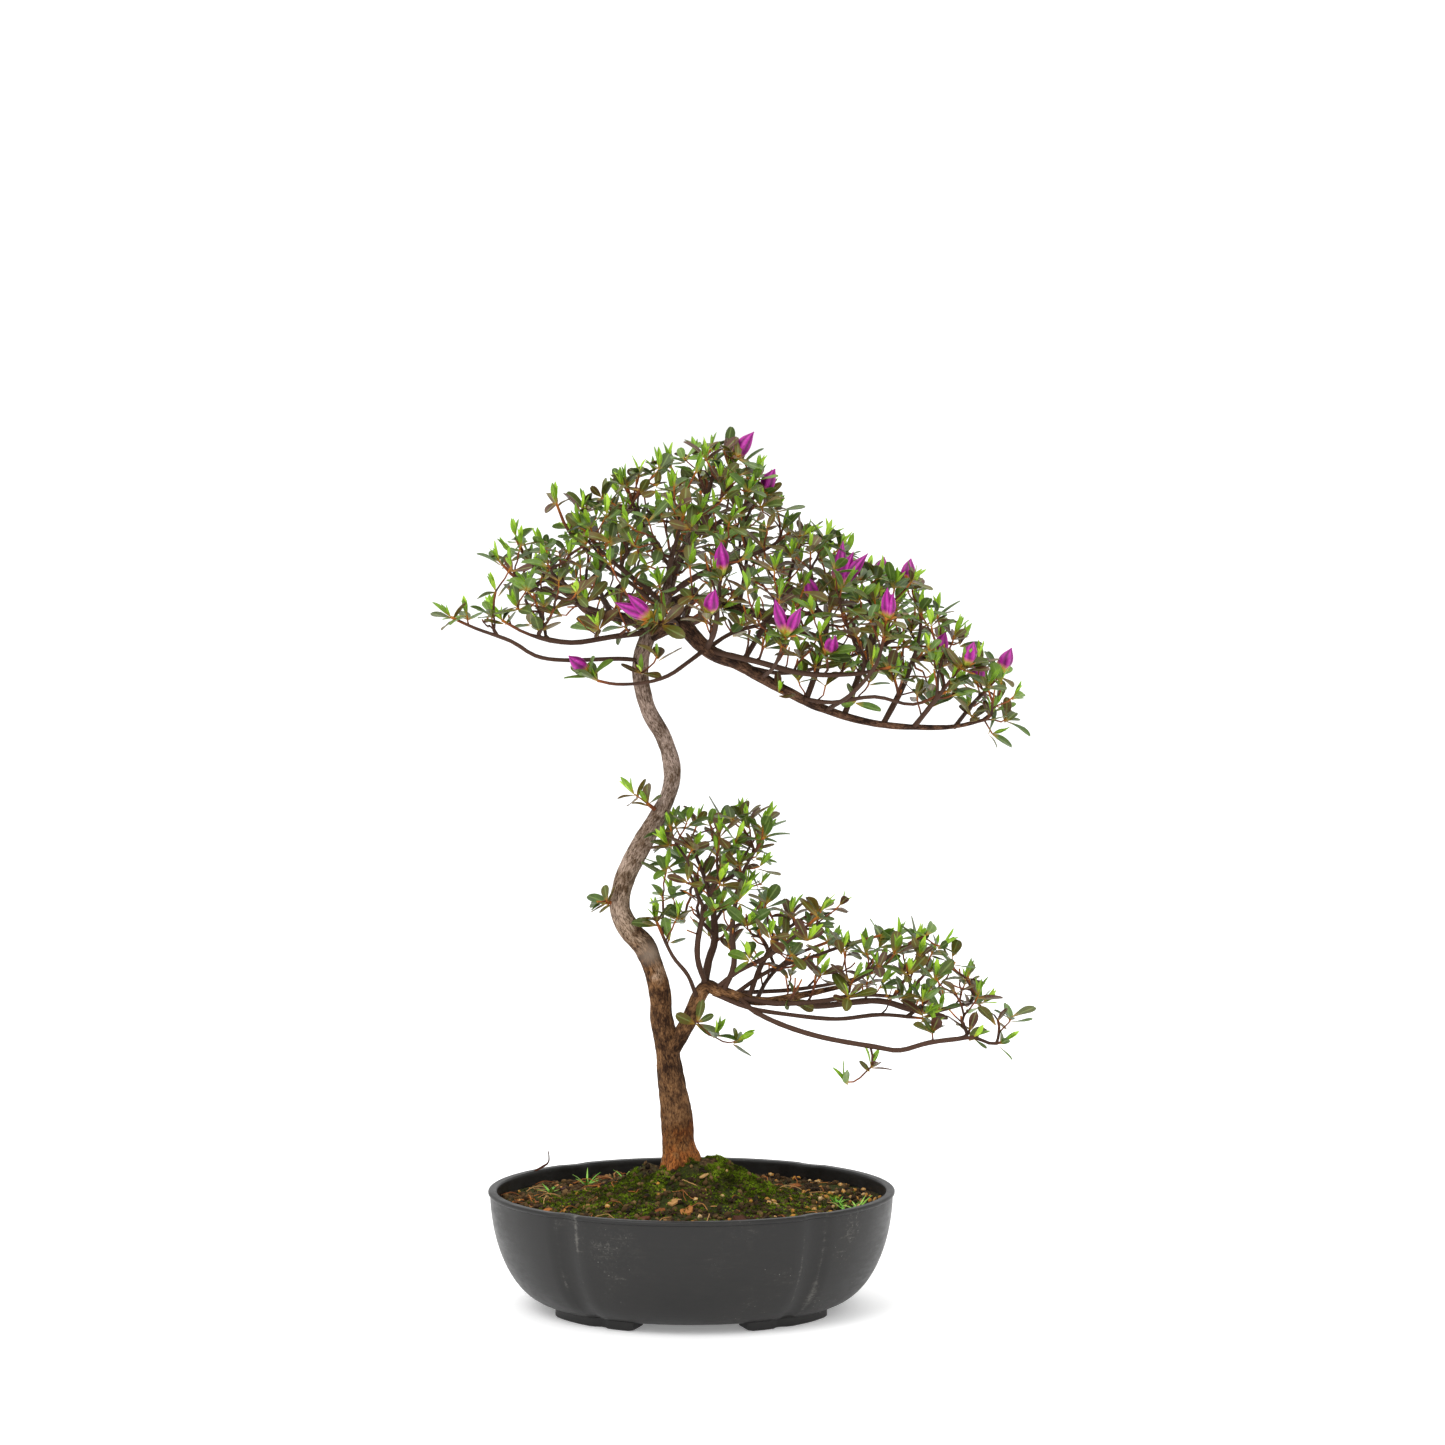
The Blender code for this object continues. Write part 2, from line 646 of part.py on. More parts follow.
def make_chip(surface, angle, share):
    """A flake of bark lying on the soil."""
    foot = soil_point(angle, share) + 5.0 * GAP * UP
    bm = bmesh.new()
    bmesh.ops.create_cube(bm, size=1.0)
    bmesh.ops.scale(bm, vec=(CHIP_LENGTH, CHIP_WIDTH, CHIP_THICKNESS), verts=bm.verts)
    bmesh.ops.translate(bm, vec=foot + 0.5 * CHIP_THICKNESS * UP, verts=bm.verts)
    bmesh.ops.bevel(bm, geom=bm.edges[:], offset=0.25 * CHIP_THICKNESS, segments=1, affect="EDGES")
    finished("bark_chip", bm, surface)


def wood_route(table, step):
    """A table of points and radii as a smooth route in metres."""
    return smooth_route([(scaled(row), row[3] * MM * GIRTH) for row in table], step)


def trunk_rings(route, margin):
    """Rings of the trunk, spread into root ridges where it meets the soil, a margin wider all round."""
    rings = tube_rings(route, TRUNK_SIDES, RIGHT)
    for points, (centre, radius) in zip(rings, route):
        spread = max(0.0, min(1.0, (radius / GIRTH - FLARE_START) / (FLARE_FULL - FLARE_START)))
        for index, point in enumerate(points):
            ridge = 1.0 + FLARE_RIDGE * spread * math.cos(math.pi * index) + margin / radius
            points[index] = centre + ridge * (point - centre)
    rings[0] = [point - margin * UP for point in rings[0]]
    return rings


def trunk_solid(route, margin):
    """The trunk a margin wider all round, in triangles that match those of any seat cut for it."""
    bm = bmesh.new()
    loft(bm, trunk_rings(route, margin))
    bmesh.ops.triangulate(bm, faces=bm.faces, quad_method="FIXED")
    return bm


def make_wood(surface, routes):
    """The trunk, and the limbs cut to fit it."""
    finished("trunk", trunk_solid(routes["trunk"], 0.0), surface)
    for name in LIMB_ROUTES:
        bm = bmesh.new()
        loft(bm, tube_rings(routes[name], LIMB_SIDES))
        limb = finished(name, bm, surface)
        cut_away(limb, f"{name}_seat", trunk_solid(routes["trunk"], GAP))


def seated_route(parent_route, points):
    """The route of a branch that starts just clear of its parent's surface, or of its end."""
    start = points[0]
    nearest = min(range(len(parent_route)), key=lambda index: (parent_route[index][0] - start).length)
    centre, radius = parent_route[nearest]
    along = tangents(parent_route)[nearest]
    if nearest == len(parent_route) - 1:
        out = along
        seat = centre + GAP * out
    else:
        towards = points[1] - centre
        out = (towards - towards.dot(along) * along).normalized()
        seat = centre + (radius + GAP) * out
    return [seat, seat + STUB * out] + list(points[1:])


def spray_route(parent_route, table):
    """A leafy branch's smooth route, from its seat to its tip, getting thinner."""
    points = seated_route(parent_route, [scaled(row) for row in table])
    last = len(points) - 1
    radii = [SPRAY_BASE_RADIUS + (SPRAY_TIP_RADIUS - SPRAY_BASE_RADIUS) * index / last
             for index in range(last + 1)]
    return smooth_route(list(zip(points, radii)), SPRAY_STEP)


def leaf_reach():
    """How far the leaves at a tip reach to the side."""
    return LEAF_LENGTH * math.sin(LEAF_PITCH) + LEAF_WIDTH / 2.0


def new_tip(branch, place, out, terminal=False, flower=False):
    """A leafy tip: its branch, its place, the way it points and how much room it needs."""
    return {"branch": branch, "place": place, "out": out, "reach": leaf_reach(),
            "terminal": terminal, "flower": flower}


def branch_tips(name, route, count):
    """The leafy tips of a branch: its side shoots, each a golden angle on from the last, and its end."""
    directions = tangents(route)
    tips = []
    for number in range(count):
        share = LONE_SHOOT
        if count > 1:
            share = FIRST_SHOOT + (LAST_SHOOT - FIRST_SHOOT) * number / (count - 1)
        index = min(len(route) - 2, round(share * (len(route) - 1)))
        along = directions[index]
        turn = GOLDEN_ANGLE * (number + 1) + 2.0 * math.pi * route[-1][0].x / SHOOT_LENGTH
        across = along.orthogonal().normalized()
        side = math.cos(turn) * across + math.sin(turn) * along.cross(across)
        out = (side + 0.35 * along + 0.75 * UP).normalized()
        tips.append(new_tip(name, route[index][0] + SHOOT_LENGTH * out, out))
    out = (directions[-1] + 0.45 * UP).normalized()
    tips.append(new_tip(name, route[-1][0] + 0.5 * SHOOT_LENGTH * out, out, terminal=True))
    return tips


def room_lacking(place, other, distance, share):
    """The push that brings place nearer to its distance from the other point, or none."""
    away = place - other
    lack = distance - away.length
    if lack <= 0.0:
        return Vector()
    return share * lack * away.normalized()


def spread_apart(tips, fixed, routes):
    """Push leafy tips apart until each has room for its leaves, clear of flowers and of branches."""
    for _ in range(SPREAD_ROUNDS):
        moved = False
        for tip in tips:
            push = Vector()
            for other in tips + fixed:
                if other is not tip:
                    push += room_lacking(tip["place"], other["place"], tip["reach"] + other["reach"], 0.5)
            for name, route in routes.items():
                if name == tip["branch"]:
                    continue
                for point, radius in route:
                    push += room_lacking(tip["place"], point, tip["reach"] + radius + GAP, 0.6)
            if push.length > 0.1 * GAP:
                tip["place"] += push
                moved = True
        if not moved:
            return


def free_face(sides, place, out):
    """Take the face that a shoot towards the place should grow from."""
    def misfit(face):
        return (face.calc_center_median() - place).length - SHOOT_LENGTH / 3.0 * face.normal.dot(out)
    best = min(sides, key=misfit)
    sides.remove(best)
    return best


def rosette(bm, face, place, out, flower):
    """Leaves spread round the end of a shoot: a young spike or, for a flower, nothing in their middle."""
    across = out.orthogonal().normalized()
    size = 2.0 * SHOOT_RADIUS
    start = face.calc_center_median()
    towards = (place - start).normalized()
    root = reshaped(bm, face, start + size * towards, towards, across, size, size)
    lower = reshaped(bm, root, place - size * towards, towards, across, size, size)
    upper = reshaped(bm, lower, place + size * out, out, across, size, size)
    sides = [other for edge in upper.edges for other in edge.link_faces if other is not upper]
    pitch = FLOWER_LEAF_PITCH if flower else LEAF_PITCH
    for side in sides[:4 if flower else 3]:
        side.normal_update()
        away = (side.normal - side.normal.dot(out) * out).normalized()
        direction = (math.sin(pitch) * away + math.cos(pitch) * out).normalized()
        wide = out.cross(away).normalized()
        base = side.calc_center_median()
        middle = reshaped(bm, side, base + 0.58 * LEAF_LENGTH * direction, direction, wide,
                          LEAF_WIDTH, LEAF_THICKNESS)
        reshaped(bm, middle, base + LEAF_LENGTH * direction, direction, wide,
                 0.3 * LEAF_WIDTH, 0.7 * LEAF_THICKNESS)
    if not flower:
        reshaped(bm, upper, place + SPIKE_LENGTH * out, out, across, 0.5 * size, 0.5 * size)


def make_sprays(surface, routes, tips):
    """Each leafy branch as one solid: a square twig with leaves grown out of its faces."""
    for name in SPRAYS:
        bm = bmesh.new()
        end = loft(bm, tube_rings(routes[name], 4))
        bm.normal_update()
        start = routes[name][0][0]
        sides = [face for face in bm.faces
                 if face is not end and (face.calc_center_median() - start).length > STUB]
        own = [tip for tip in tips if tip["branch"] == name]
        for tip in own:
            face = end if tip["terminal"] else free_face(sides, tip["place"], tip["out"])
            rosette(bm, face, tip["place"], tip["out"], tip["flower"])
        finished(name, bm, surface)


def make_flowers(surface):
    """The buds, each standing just clear of the end of its shoot."""
    for name, (_, place, direction, length) in FLOWERS.items():
        out = Vector(direction).normalized()
        base = scaled(place) + (2.0 * SHOOT_RADIUS + GAP) * out
        across = out.orthogonal().normalized()
        rings = [ring(base + share * length * MM * out, across, out, wide * BUD_RADIUS, BUD_SIDES)
                 for share, wide in BUD_PROFILE]
        bm = bmesh.new()
        loft(bm, rings)
        finished(name, bm, surface)


def all_tips(routes):
    """Every leafy tip, with room made for its leaves, and every flower's shoot."""
    fixed = []
    for branch, place, direction, _ in FLOWERS.values():
        fixed.append(new_tip(branch, scaled(place), Vector(direction).normalized(), flower=True))
    tips = []
    for name, (_, count, _) in SPRAYS.items():
        tips += branch_tips(name, routes[name], count)
    spread_apart(tips, fixed, routes)
    return fixed + tips


def centre_on_plant():
    """Move everything so that the origin is the bottom centre of the whole plant's box."""
    bpy.context.view_layer.update()
    shown = [made for made in bpy.context.scene.objects if not made.hide_render]
    corners = [made.matrix_world @ corner.co for made in shown for corner in made.data.vertices]
    middle = [0.5 * (min(c[axis] for c in corners) + max(c[axis] for c in corners)) for axis in (0, 1)]
    shift = Vector((-middle[0], -middle[1], 0.0))
    for made in bpy.context.scene.objects:
        made.location = shift


def main():
    """Build the whole plant."""
    for old in list(bpy.data.objects):
        bpy.data.objects.remove(old)
    surfaces = make_materials()
    routes = {"trunk": wood_route(TRUNK_ROUTE, TRUNK_STEP)}
    for name, table in LIMB_ROUTES.items():
        routes[name] = wood_route(table, LIMB_STEP)
    for name, (parent, _, table) in SPRAYS.items():
        routes[name] = spray_route(routes[parent], table)
    make_pot(surfaces["pot"])
    make_screens(surfaces["screen"])
    make_grit(surfaces["grit"])
    make_soil(surfaces["soil"], routes["trunk"])
    make_moss("moss_front", surfaces["moss"], 30, 40, 2, 5)
    make_moss("moss_right", surfaces["moss"], 42, 46, 2, 4)
    make_grass("grass_left", surfaces["grass"], math.radians(165.0), 0.75)
    make_grass("grass_right", surfaces["grass"], math.radians(-12.0), 0.78)
    make_chip(surfaces["bark_chip"], math.radians(-72.0), 0.93)
    make_wood(surfaces["wood"], routes)
    make_sprays(surfaces["leaf"], routes, all_tips(routes))
    make_flowers(surfaces["petal"])
    centre_on_plant()


main()
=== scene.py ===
import json
import math
import random

import bmesh
import bpy
import numpy as np
from mathutils import Matrix, Vector, noise

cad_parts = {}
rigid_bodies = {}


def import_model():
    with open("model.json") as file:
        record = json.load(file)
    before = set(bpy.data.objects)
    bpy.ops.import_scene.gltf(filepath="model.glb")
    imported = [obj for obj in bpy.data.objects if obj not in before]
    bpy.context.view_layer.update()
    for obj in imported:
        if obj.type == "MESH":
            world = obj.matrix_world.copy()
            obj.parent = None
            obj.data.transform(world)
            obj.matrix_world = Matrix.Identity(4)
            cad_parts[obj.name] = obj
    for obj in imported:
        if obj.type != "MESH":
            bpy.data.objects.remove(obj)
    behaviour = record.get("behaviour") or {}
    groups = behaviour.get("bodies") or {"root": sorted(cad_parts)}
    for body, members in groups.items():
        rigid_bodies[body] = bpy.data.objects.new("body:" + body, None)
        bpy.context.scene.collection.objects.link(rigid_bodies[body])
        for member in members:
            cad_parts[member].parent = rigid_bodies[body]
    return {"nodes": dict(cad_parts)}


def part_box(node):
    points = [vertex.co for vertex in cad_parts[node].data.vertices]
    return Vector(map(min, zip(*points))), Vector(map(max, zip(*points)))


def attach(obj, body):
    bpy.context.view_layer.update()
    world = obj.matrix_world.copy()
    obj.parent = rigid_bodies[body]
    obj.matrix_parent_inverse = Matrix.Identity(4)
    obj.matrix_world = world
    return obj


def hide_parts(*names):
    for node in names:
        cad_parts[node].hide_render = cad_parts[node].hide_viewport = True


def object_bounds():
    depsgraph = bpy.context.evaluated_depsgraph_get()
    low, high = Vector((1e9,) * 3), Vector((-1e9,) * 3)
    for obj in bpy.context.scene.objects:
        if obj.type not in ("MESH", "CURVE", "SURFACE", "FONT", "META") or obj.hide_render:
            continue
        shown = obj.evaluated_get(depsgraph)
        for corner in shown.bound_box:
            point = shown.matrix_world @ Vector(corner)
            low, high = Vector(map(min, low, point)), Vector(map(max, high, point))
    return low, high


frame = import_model()
CAD_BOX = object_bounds()

bl_info = {
    "name": "Flowering azalea bonsai",
    "version": (1, 0, 0),
    "blender": (4, 5, 0),
    "location": "3D View > Sidebar > Bonsai",
    "description": "Builds a potted azalea bonsai piece by piece around its packed frame",
    "category": "Object",
}

MM = 0.001
UP = Vector((0.0, 0.0, 1.0))
RIGHT = Vector((1.0, 0.0, 0.0))
FRONT = Vector((0.0, -1.0, 0.0))
FULL_TURN = 2.0 * math.pi
GOLDEN_ANGLE = math.radians(137.5)
LENGTH = {"unit": "LENGTH", "subtype": "DISTANCE"}

# Edges turn sharp past these angles, in degrees
POT_SHARP = 40.0
LEAF_SHARP = 50.0
PLAIN_SHARP = 60.0
BUD_SHARP = 70.0

# Where each piece's chance draws start, so that every run gives the same plant
SEEDS = {"crumbs": 11, "litter": 23, "twigs": 5, "leaves": 17, "buds": 61}

# A wave texture draws this many bands to a unit of its scale
WAVE_BANDS = 3.2

# The frame: the pot's box gives the middle from which every route below is measured
POT_LOW, POT_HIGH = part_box("pot")
MIDDLE = 0.5 * (POT_LOW + POT_HIGH)
RIM = POT_HIGH.z
POT_SIZE = POT_HIGH - POT_LOW
GRIT_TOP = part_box("drainage_grit")[1].z
FRONT_BACK_SPREAD = 1.5

# Pot: moulded oval bowl with four grooves, a rolled lip, four feet and two drain holes
BASE_SIZE = (0.180, 0.139)
WALL = 0.0045
FLOOR = 0.0045
FOOT_HEIGHT = 0.005
FOOT_BAND = 0.012
FOOT_HALF_ANGLE = math.radians(22.5)
FOOT_REACH = 0.0040
FOOT_TOP = 0.0105
FOOT_EDGE = 0.0008
FOOT_STEPS = 20
LIP_REACH = 0.0012
LIP_RADIUS = 0.0015
LIP_STEPS = 9
GROOVE_ANGLE = math.radians(52.5)
GROOVE_DEPTH = 0.0024
GROOVE_HALF_ANGLE = math.radians(2.9)
DRAIN_RADIUS = 0.007
DRAIN_SPACING = 0.090

# Soil: how far below the rim it lies, its mound round the trunk, and the rings of its surface
SOIL_DROP_FRONT = 0.0045
SOIL_DROP_BACK = 0.0100
MOUND_HEIGHT = 0.0210
MOUND_RADIUS = 0.050
LUMP_HEIGHT = 0.0012
# Humps over roots and old moss: x, y, radius and height, in mm
HUMPS = ((9, 7, 14, 6), (24, 6, 17, 6), (44, 4, 17, 4), (-28, 8, 8, 8), (-38, 6, 9, 4),
         (-17, -8, 8, 3))
# Lumps of the soil's surface: their size and height, in mm
SOIL_LUMPS = ((19.0, 2.0), (8.0, 1.8), (3.6, 1.3))
SOIL_STEPS = 120
SOIL_RINGS = 26
SOIL_SIDE_RINGS = 5
# How far the soil stays off the grit and the wall, and how far its side ends below its lowest edge
SOIL_GAP = 0.0003
SOIL_INSET = 0.0002
SOIL_EDGE = 0.004

# The largest flakes of bark: angle in degrees, share of the way to the wall, length in mm, tone
LARGE_FLAKES = ((-72.0, 0.90, 15.0, 0.1), (-90.0, 0.62, 14.0, 0.75), (-68.0, 0.84, 10.0, 0.2),
                (-96.0, 0.55, 9.0, 0.9))
SMALL_FLAKES = 44
ROOTLET_RADIUS = 0.00028
ROOTLET_STEPS = 7
ROOTLET_STEP = 0.0026

# Moss cushions: the node, the seed and the patches, each by its middle angle in degrees, half its
# spread in radians, and where it starts and ends between the trunk, 0, and the wall, 1
MOSS = {
    "moss_in_front": ("moss_front", 31, ((-88.0, 1.5, 0.08, 1.02), (-150.0, 0.8, 0.2, 0.85))),
    "moss_at_right": ("moss_right", 37, ((-25.0, 0.9, 0.10, 0.88), (20.0, 1.0, 0.04, 0.5))),
}

# Grass: the node, the seed and the clumps, each by its angle in degrees, its share and its height in mm
GRASS = {
    "grass_at_left": ("grass_left", 41, ((165.0, 0.75, 9.0), (140.0, 0.70, 13.0), (118.0, 0.74, 9.0))),
    "grass_at_right": ("grass_right", 43, ((-12.0, 0.78, 9.0), (-30.0, 0.92, 11.0), (-24.0, 0.93, 12.0))),
}
BLADES = 9

# Root flare: where the trunk's radius grows past the first value its section turns ridged
FLARE_START = 0.0100
FLARE_FULL = 0.0145
FLARE_RIDGE = 0.16
ROOTS = 5

# Wood thinner than this has shallower cracks
FULL_BARK_RADIUS = 0.005

# Trunk: x, y, height above the rim, radius, all in mm
TRUNK_ROUTE = (
    (-7, 8, -18, 14), (-7, 8, 2, 15.5), (-8, 8, 14, 13.0), (-9, 8, 25, 10.6), (-9, 8, 40, 9.9),
    (-12, 7, 62, 9.2), (-15, 6, 84, 8.0), (-19, 4, 110, 7.1), (-20, 3, 126, 6.9),
    (-28, 0, 153, 7.3), (-39, -1, 167, 7.1), (-45, -2, 182, 6.5), (-41, 0, 201, 6.4),
    (-30, 4, 223, 6.2), (-16, 7, 248, 5.5), (-12, 8, 266, 5.1), (-17, 6, 286, 5.1),
    (-28, 1, 310, 5.3), (-32, 0, 334, 5.2), (-27, 1, 353, 5.1), (-18, 3, 373, 4.2),
    (-11, 6, 394, 3.3), (-3, 7, 412, 2.6), (10, 5, 440, 1.6),
)

# Limbs that leave the trunk: x, y, height above the rim, radius; the first point is inside the trunk
LIMB_ROUTES = {
    "lower_limb": (
        (-15, 6, 84, 5.6), (-4, 2, 103, 5.4), (8, -1, 129, 4.6), (20, -3, 127, 3.7),
        (41, -5, 122, 2.9), (60, -6, 124, 2.4), (97, -6, 132, 1.5),
    ),
    "upper_right_limb": (
        (-27, 1, 352, 4.2), (-16, -1, 359, 5.2), (-5, -3, 360, 5.4), (10, -7, 346, 4.8),
        (31, -11, 336, 3.9), (59, -16, 321, 3.2), (85, -18, 309, 2.7), (120, -19, 300, 2.2),
        (160, -16, 298, 1.5), (184, -12, 302, 1.1),
    ),
    "upper_left_limb": (
        (-26, 1, 356, 3.4), (-40, 4, 364, 3.4), (-63, 8, 368, 3.0), (-76, 12, 378, 2.5),
        (-102, 18, 397, 1.5),
    ),
    "upper_back_limb": (
        (-20, 3, 368, 3.2), (-12, 16, 374, 3.1), (5, 26, 375, 2.8), (30, 33, 368, 2.5),
        (60, 37, 357, 2.1), (112, 40, 338, 1.4),
    ),
}

# Leafy branches: their routes, x, y and height above the rim, in mm
BRANCHES = {
    "crown_top": ((10, 5, 440), (13, 3, 452), (15, 0, 464)),
    "crown_left": ((-11, 6, 394), (-24, 0, 412), (-34, -4, 432), (-41, -6, 450)),
    "crown_right": ((-3, 7, 412), (16, 6, 424), (34, 6, 436), (46, 4, 446)),
    "crown_back": ((-3, 7, 410), (0, 26, 420), (4, 42, 432), (6, 50, 444)),
    "crown_front": ((-14, 5, 386), (-13, -14, 400), (-8, -30, 418), (-4, -38, 432)),
    "heart_left": ((-18, 3, 375), (-38, -8, 392), (-56, -14, 408), (-68, -16, 424)),
    "heart_front": ((-8, -3, 360), (-11, -22, 365), (-18, -38, 366)),
    "heart_right": ((10, -7, 346), (15, -26, 360), (18, -36, 382)),
    "shoulder": ((31, -11, 336), (46, -2, 360), (60, 2, 386), (68, 3, 412)),
    "left_tip": (
        (-32, 0, 338), (-46, -8, 340), (-79, -16, 340), (-97, -18, 343), (-112, -18, 352),
        (-134, -18, 360), (-150, -16, 367),
    ),
    "left_outer": ((-102, 18, 397), (-108, 19, 406), (-112, 20, 415)),
    "left_mid": ((-63, 8, 368), (-76, -6, 384), (-90, -12, 396)),
    "left_back": ((-50, 6, 366), (-58, 30, 378), (-60, 46, 392), (-56, 56, 408)),
    "front_loop": (
        (9, -7, 346), (-3, -18, 338), (-14, -22, 331), (-28, -25, 327), (-46, -25, 326),
        (-58, -23, 328),
    ),
    "back_mid": ((30, 33, 368), (34, 46, 388), (36, 54, 408), (32, 58, 424)),
    "back_far": ((112, 40, 338), (128, 39, 346), (144, 34, 358)),
    "right_mid_front": ((45, -14, 329), (52, -32, 338), (57, -44, 352)),
    "right_mid": ((72, -17, 315), (80, -14, 338), (88, -14, 374)),
    "right_upper": ((96, -18, 306), (106, -4, 330), (114, 4, 354), (118, 4, 376)),
    "right_front": ((85, -18, 309), (100, -38, 322), (114, -44, 340), (119, -45, 358)),
    "right_outer_up": ((120, -19, 300), (134, -6, 324), (144, 6, 350), (146, 8, 372)),
    "right_outer_mid": ((140, -18, 299), (150, -28, 314), (162, -30, 330)),
    "right_tip": ((184, -12, 302), (188, -10, 305), (191, -9, 310)),
    "right_tip_up": ((165, -16, 298), (178, 2, 310), (190, 4, 322)),
    "lower_riser_left": ((8, -1, 129), (11, 4, 146), (15, 8, 160), (12, 12, 186), (2, 13, 214)),
    "lower_riser_right": (
        (20, -3, 127), (27, -8, 146), (26, -12, 170), (32, -14, 204), (46, -12, 228),
    ),
    "lower_side": ((36, -5, 123), (46, 4, 146), (62, 8, 166), (86, 8, 180)),
    "lower_left": ((4, 0, 121), (-2, -12, 140), (-12, -16, 154), (-22, -16, 176)),
    "lower_front": (
        (30, -4, 124), (41, -14, 117), (60, -22, 110), (84, -27, 104), (116, -30, 99),
        (131, -30, 97), (150, -30, 102), (177, -29, 105),
    ),
    "lower_mid": (
        (60, -6, 124), (72, 6, 117), (86, 12, 115), (120, 16, 117), (149, 16, 110), (178, 14, 116),
    ),
    "lower_end": ((97, -6, 132), (112, -8, 141), (126, -8, 152), (142, -8, 162)),
    "lower_back": ((41, -5, 122), (50, 18, 132), (66, 34, 142), (90, 42, 150)),
    "trunk_low": ((-45, -2, 182), (-54, -5, 186)),
    "trunk_high": ((-20, 6, 240), (-28, 2, 247)),
}

# Flower buds: the branch that bears it, where its base is, where it points, its length in mm
BUDS = {
    "crown": ("crown_top", (25, -6, 464), (0.62, -0.1, 0.78), 20),
    "heart": ("heart_right", (19, -44, 395), (0.0, -0.2, 1.0), 18),
    "left": ("heart_front", (-23, -46, 368), (-0.80, -0.15, 0.58), 22),
    "centre": ("heart_right", (11, -58, 372), (0.25, -0.4, 0.9), 15),
    "opening": ("right_mid_front", (58, -56, 359), (0.1, -0.3, 0.95), 21),
    "tall": ("right_mid", (90, -18, 384), (0.42, -0.1, 0.90), 27),
    "upper": ("right_upper", (119, 2, 386), (0.15, -0.1, 0.98), 15),
    "front": ("right_front", (120, -48, 368), (0.12, -0.3, 0.95), 18),
    "outer": ("right_outer_mid", (170, -34, 338), (0.3, -0.2, 0.93), 14),
    "tip": ("right_tip_up", (195, 2, 330), (0.42, -0.1, 0.90), 15),
    "low": ("front_loop", (-63, -23, 332), (-0.72, -0.2, 0.66), 15),
}

# Smaller and withered buds that have no solid of their own: the same values
SMALL_BUDS = {
    "crown_side": ("crown_right", (44, -10, 443), (0.45, -0.2, 0.85), 16),
    "behind": ("right_outer_up", (135, 6, 386), (0.25, 0.0, 1.0), 14),
    "outer_side": ("right_outer_mid", (153, -22, 342), (0.3, -0.2, 0.9), 15),
    "withered": ("right_mid_front", (84, -38, 346), (0.35, -0.4, 0.8), 12),
    "beside_tall": ("right_mid", (77, -22, 378), (-0.25, -0.3, 0.9), 13),
    "far_side": ("right_tip_up", (179, -10, 325), (0.2, -0.1, 1.0), 11),
}
ALL_BUDS = {**BUDS, **SMALL_BUDS}
BARE = "bare"

# The radii of leafy branches and of their side branches at the foot and at the end
STEM_RADII = (0.0015, 0.0008)
SIDE_RADII = (0.0015, 0.0007)

# How far apart a branch's, a side branch's, a limb's and a twig's points are
BRANCH_STEP = 0.005
SIDE_STEP = 0.006
LIMB_STEP = 0.008
TWIG_STEP = 0.005

# The last points of a branch put off new twigs by this much each
YOUNG_STEPS = 3
YOUNG_DELAY = 0.003

# How much a twig's length, its turn from its parent and its climb count in choosing where it starts
LENGTH_WEIGHT = 1.9
TURN_WEIGHT = 0.55
CLIMB_WEIGHT = 0.60

# Long side branches in the canopies: the branch they belong to and their routes, as above
SIDE_BRANCHES = (
    ("heart_right", ((12, -8, 345), (40, -22, 340), (70, -28, 333), (100, -32, 333), (124, -36, 338))),
    ("right_mid", ((31, -11, 336), (58, 0, 330), (86, 9, 334), (112, 12, 343), (140, 10, 346))),
    ("right_front", ((70, -17, 316), (88, -28, 315), (114, -32, 319), (138, -30, 314), (160, -26, 322))),
    ("shoulder", ((10, -7, 346), (26, -4, 356), (48, -4, 362), (74, -6, 368), (98, -8, 366))),
    ("left_outer", ((-26, 1, 356), (-50, -10, 354), (-75, -16, 351), (-100, -18, 356), (-118, -16, 365))),
    ("left_mid", ((-40, 4, 364), (-64, -8, 372), (-88, -12, 381), (-108, -12, 390), (-120, -12, 402))),
    ("crown_left", ((-20, 3, 370), (-36, -6, 386), (-58, -10, 402), (-76, -12, 420), (-84, -12, 438))),
    ("crown_right", ((-16, 4, 378), (4, -8, 392), (28, -14, 402), (48, -16, 410), (62, -16, 420))),
    ("crown_front", ((-12, 6, 390), (-2, -10, 408), (10, -18, 428), (22, -20, 446))),
    ("lower_front", (
        (14, -2, 126), (36, -10, 119), (62, -12, 115), (92, -11, 112), (120, -8, 114), (148, -6, 111),
    )),
    ("lower_mid", ((20, 0, 126), (42, 7, 125), (68, 10, 126), (98, 11, 131), (120, 10, 138))),
    ("lower_end", ((30, -4, 124), (54, -12, 122), (80, -14, 124), (108, -14, 128), (134, -12, 126))),
    ("lower_riser_right", ((14, -2, 128), (30, -8, 142), (48, -12, 152), (66, -14, 166), (80, -14, 178))),
    ("lower_riser_left", ((10, -1, 130), (4, -8, 150), (6, -14, 172), (14, -16, 196), (26, -16, 218))),
    ("lower_side", ((26, -4, 125), (50, 2, 140), (76, 4, 148), (100, 6, 156), (122, 6, 162))),
)

# Where an old cut shows pale on the trunk
SCAR = (MIDDLE.x - 0.026, MIDDLE.y - 0.004, 0.229)

# How each bud stands open: the turn between its petal lobes, and how many lobes show
BUD_LOBES = {"opening": (52.0, 2), "tall": (30.0, 3), "left": (26.0, 2), "front": (14.0, 2)}

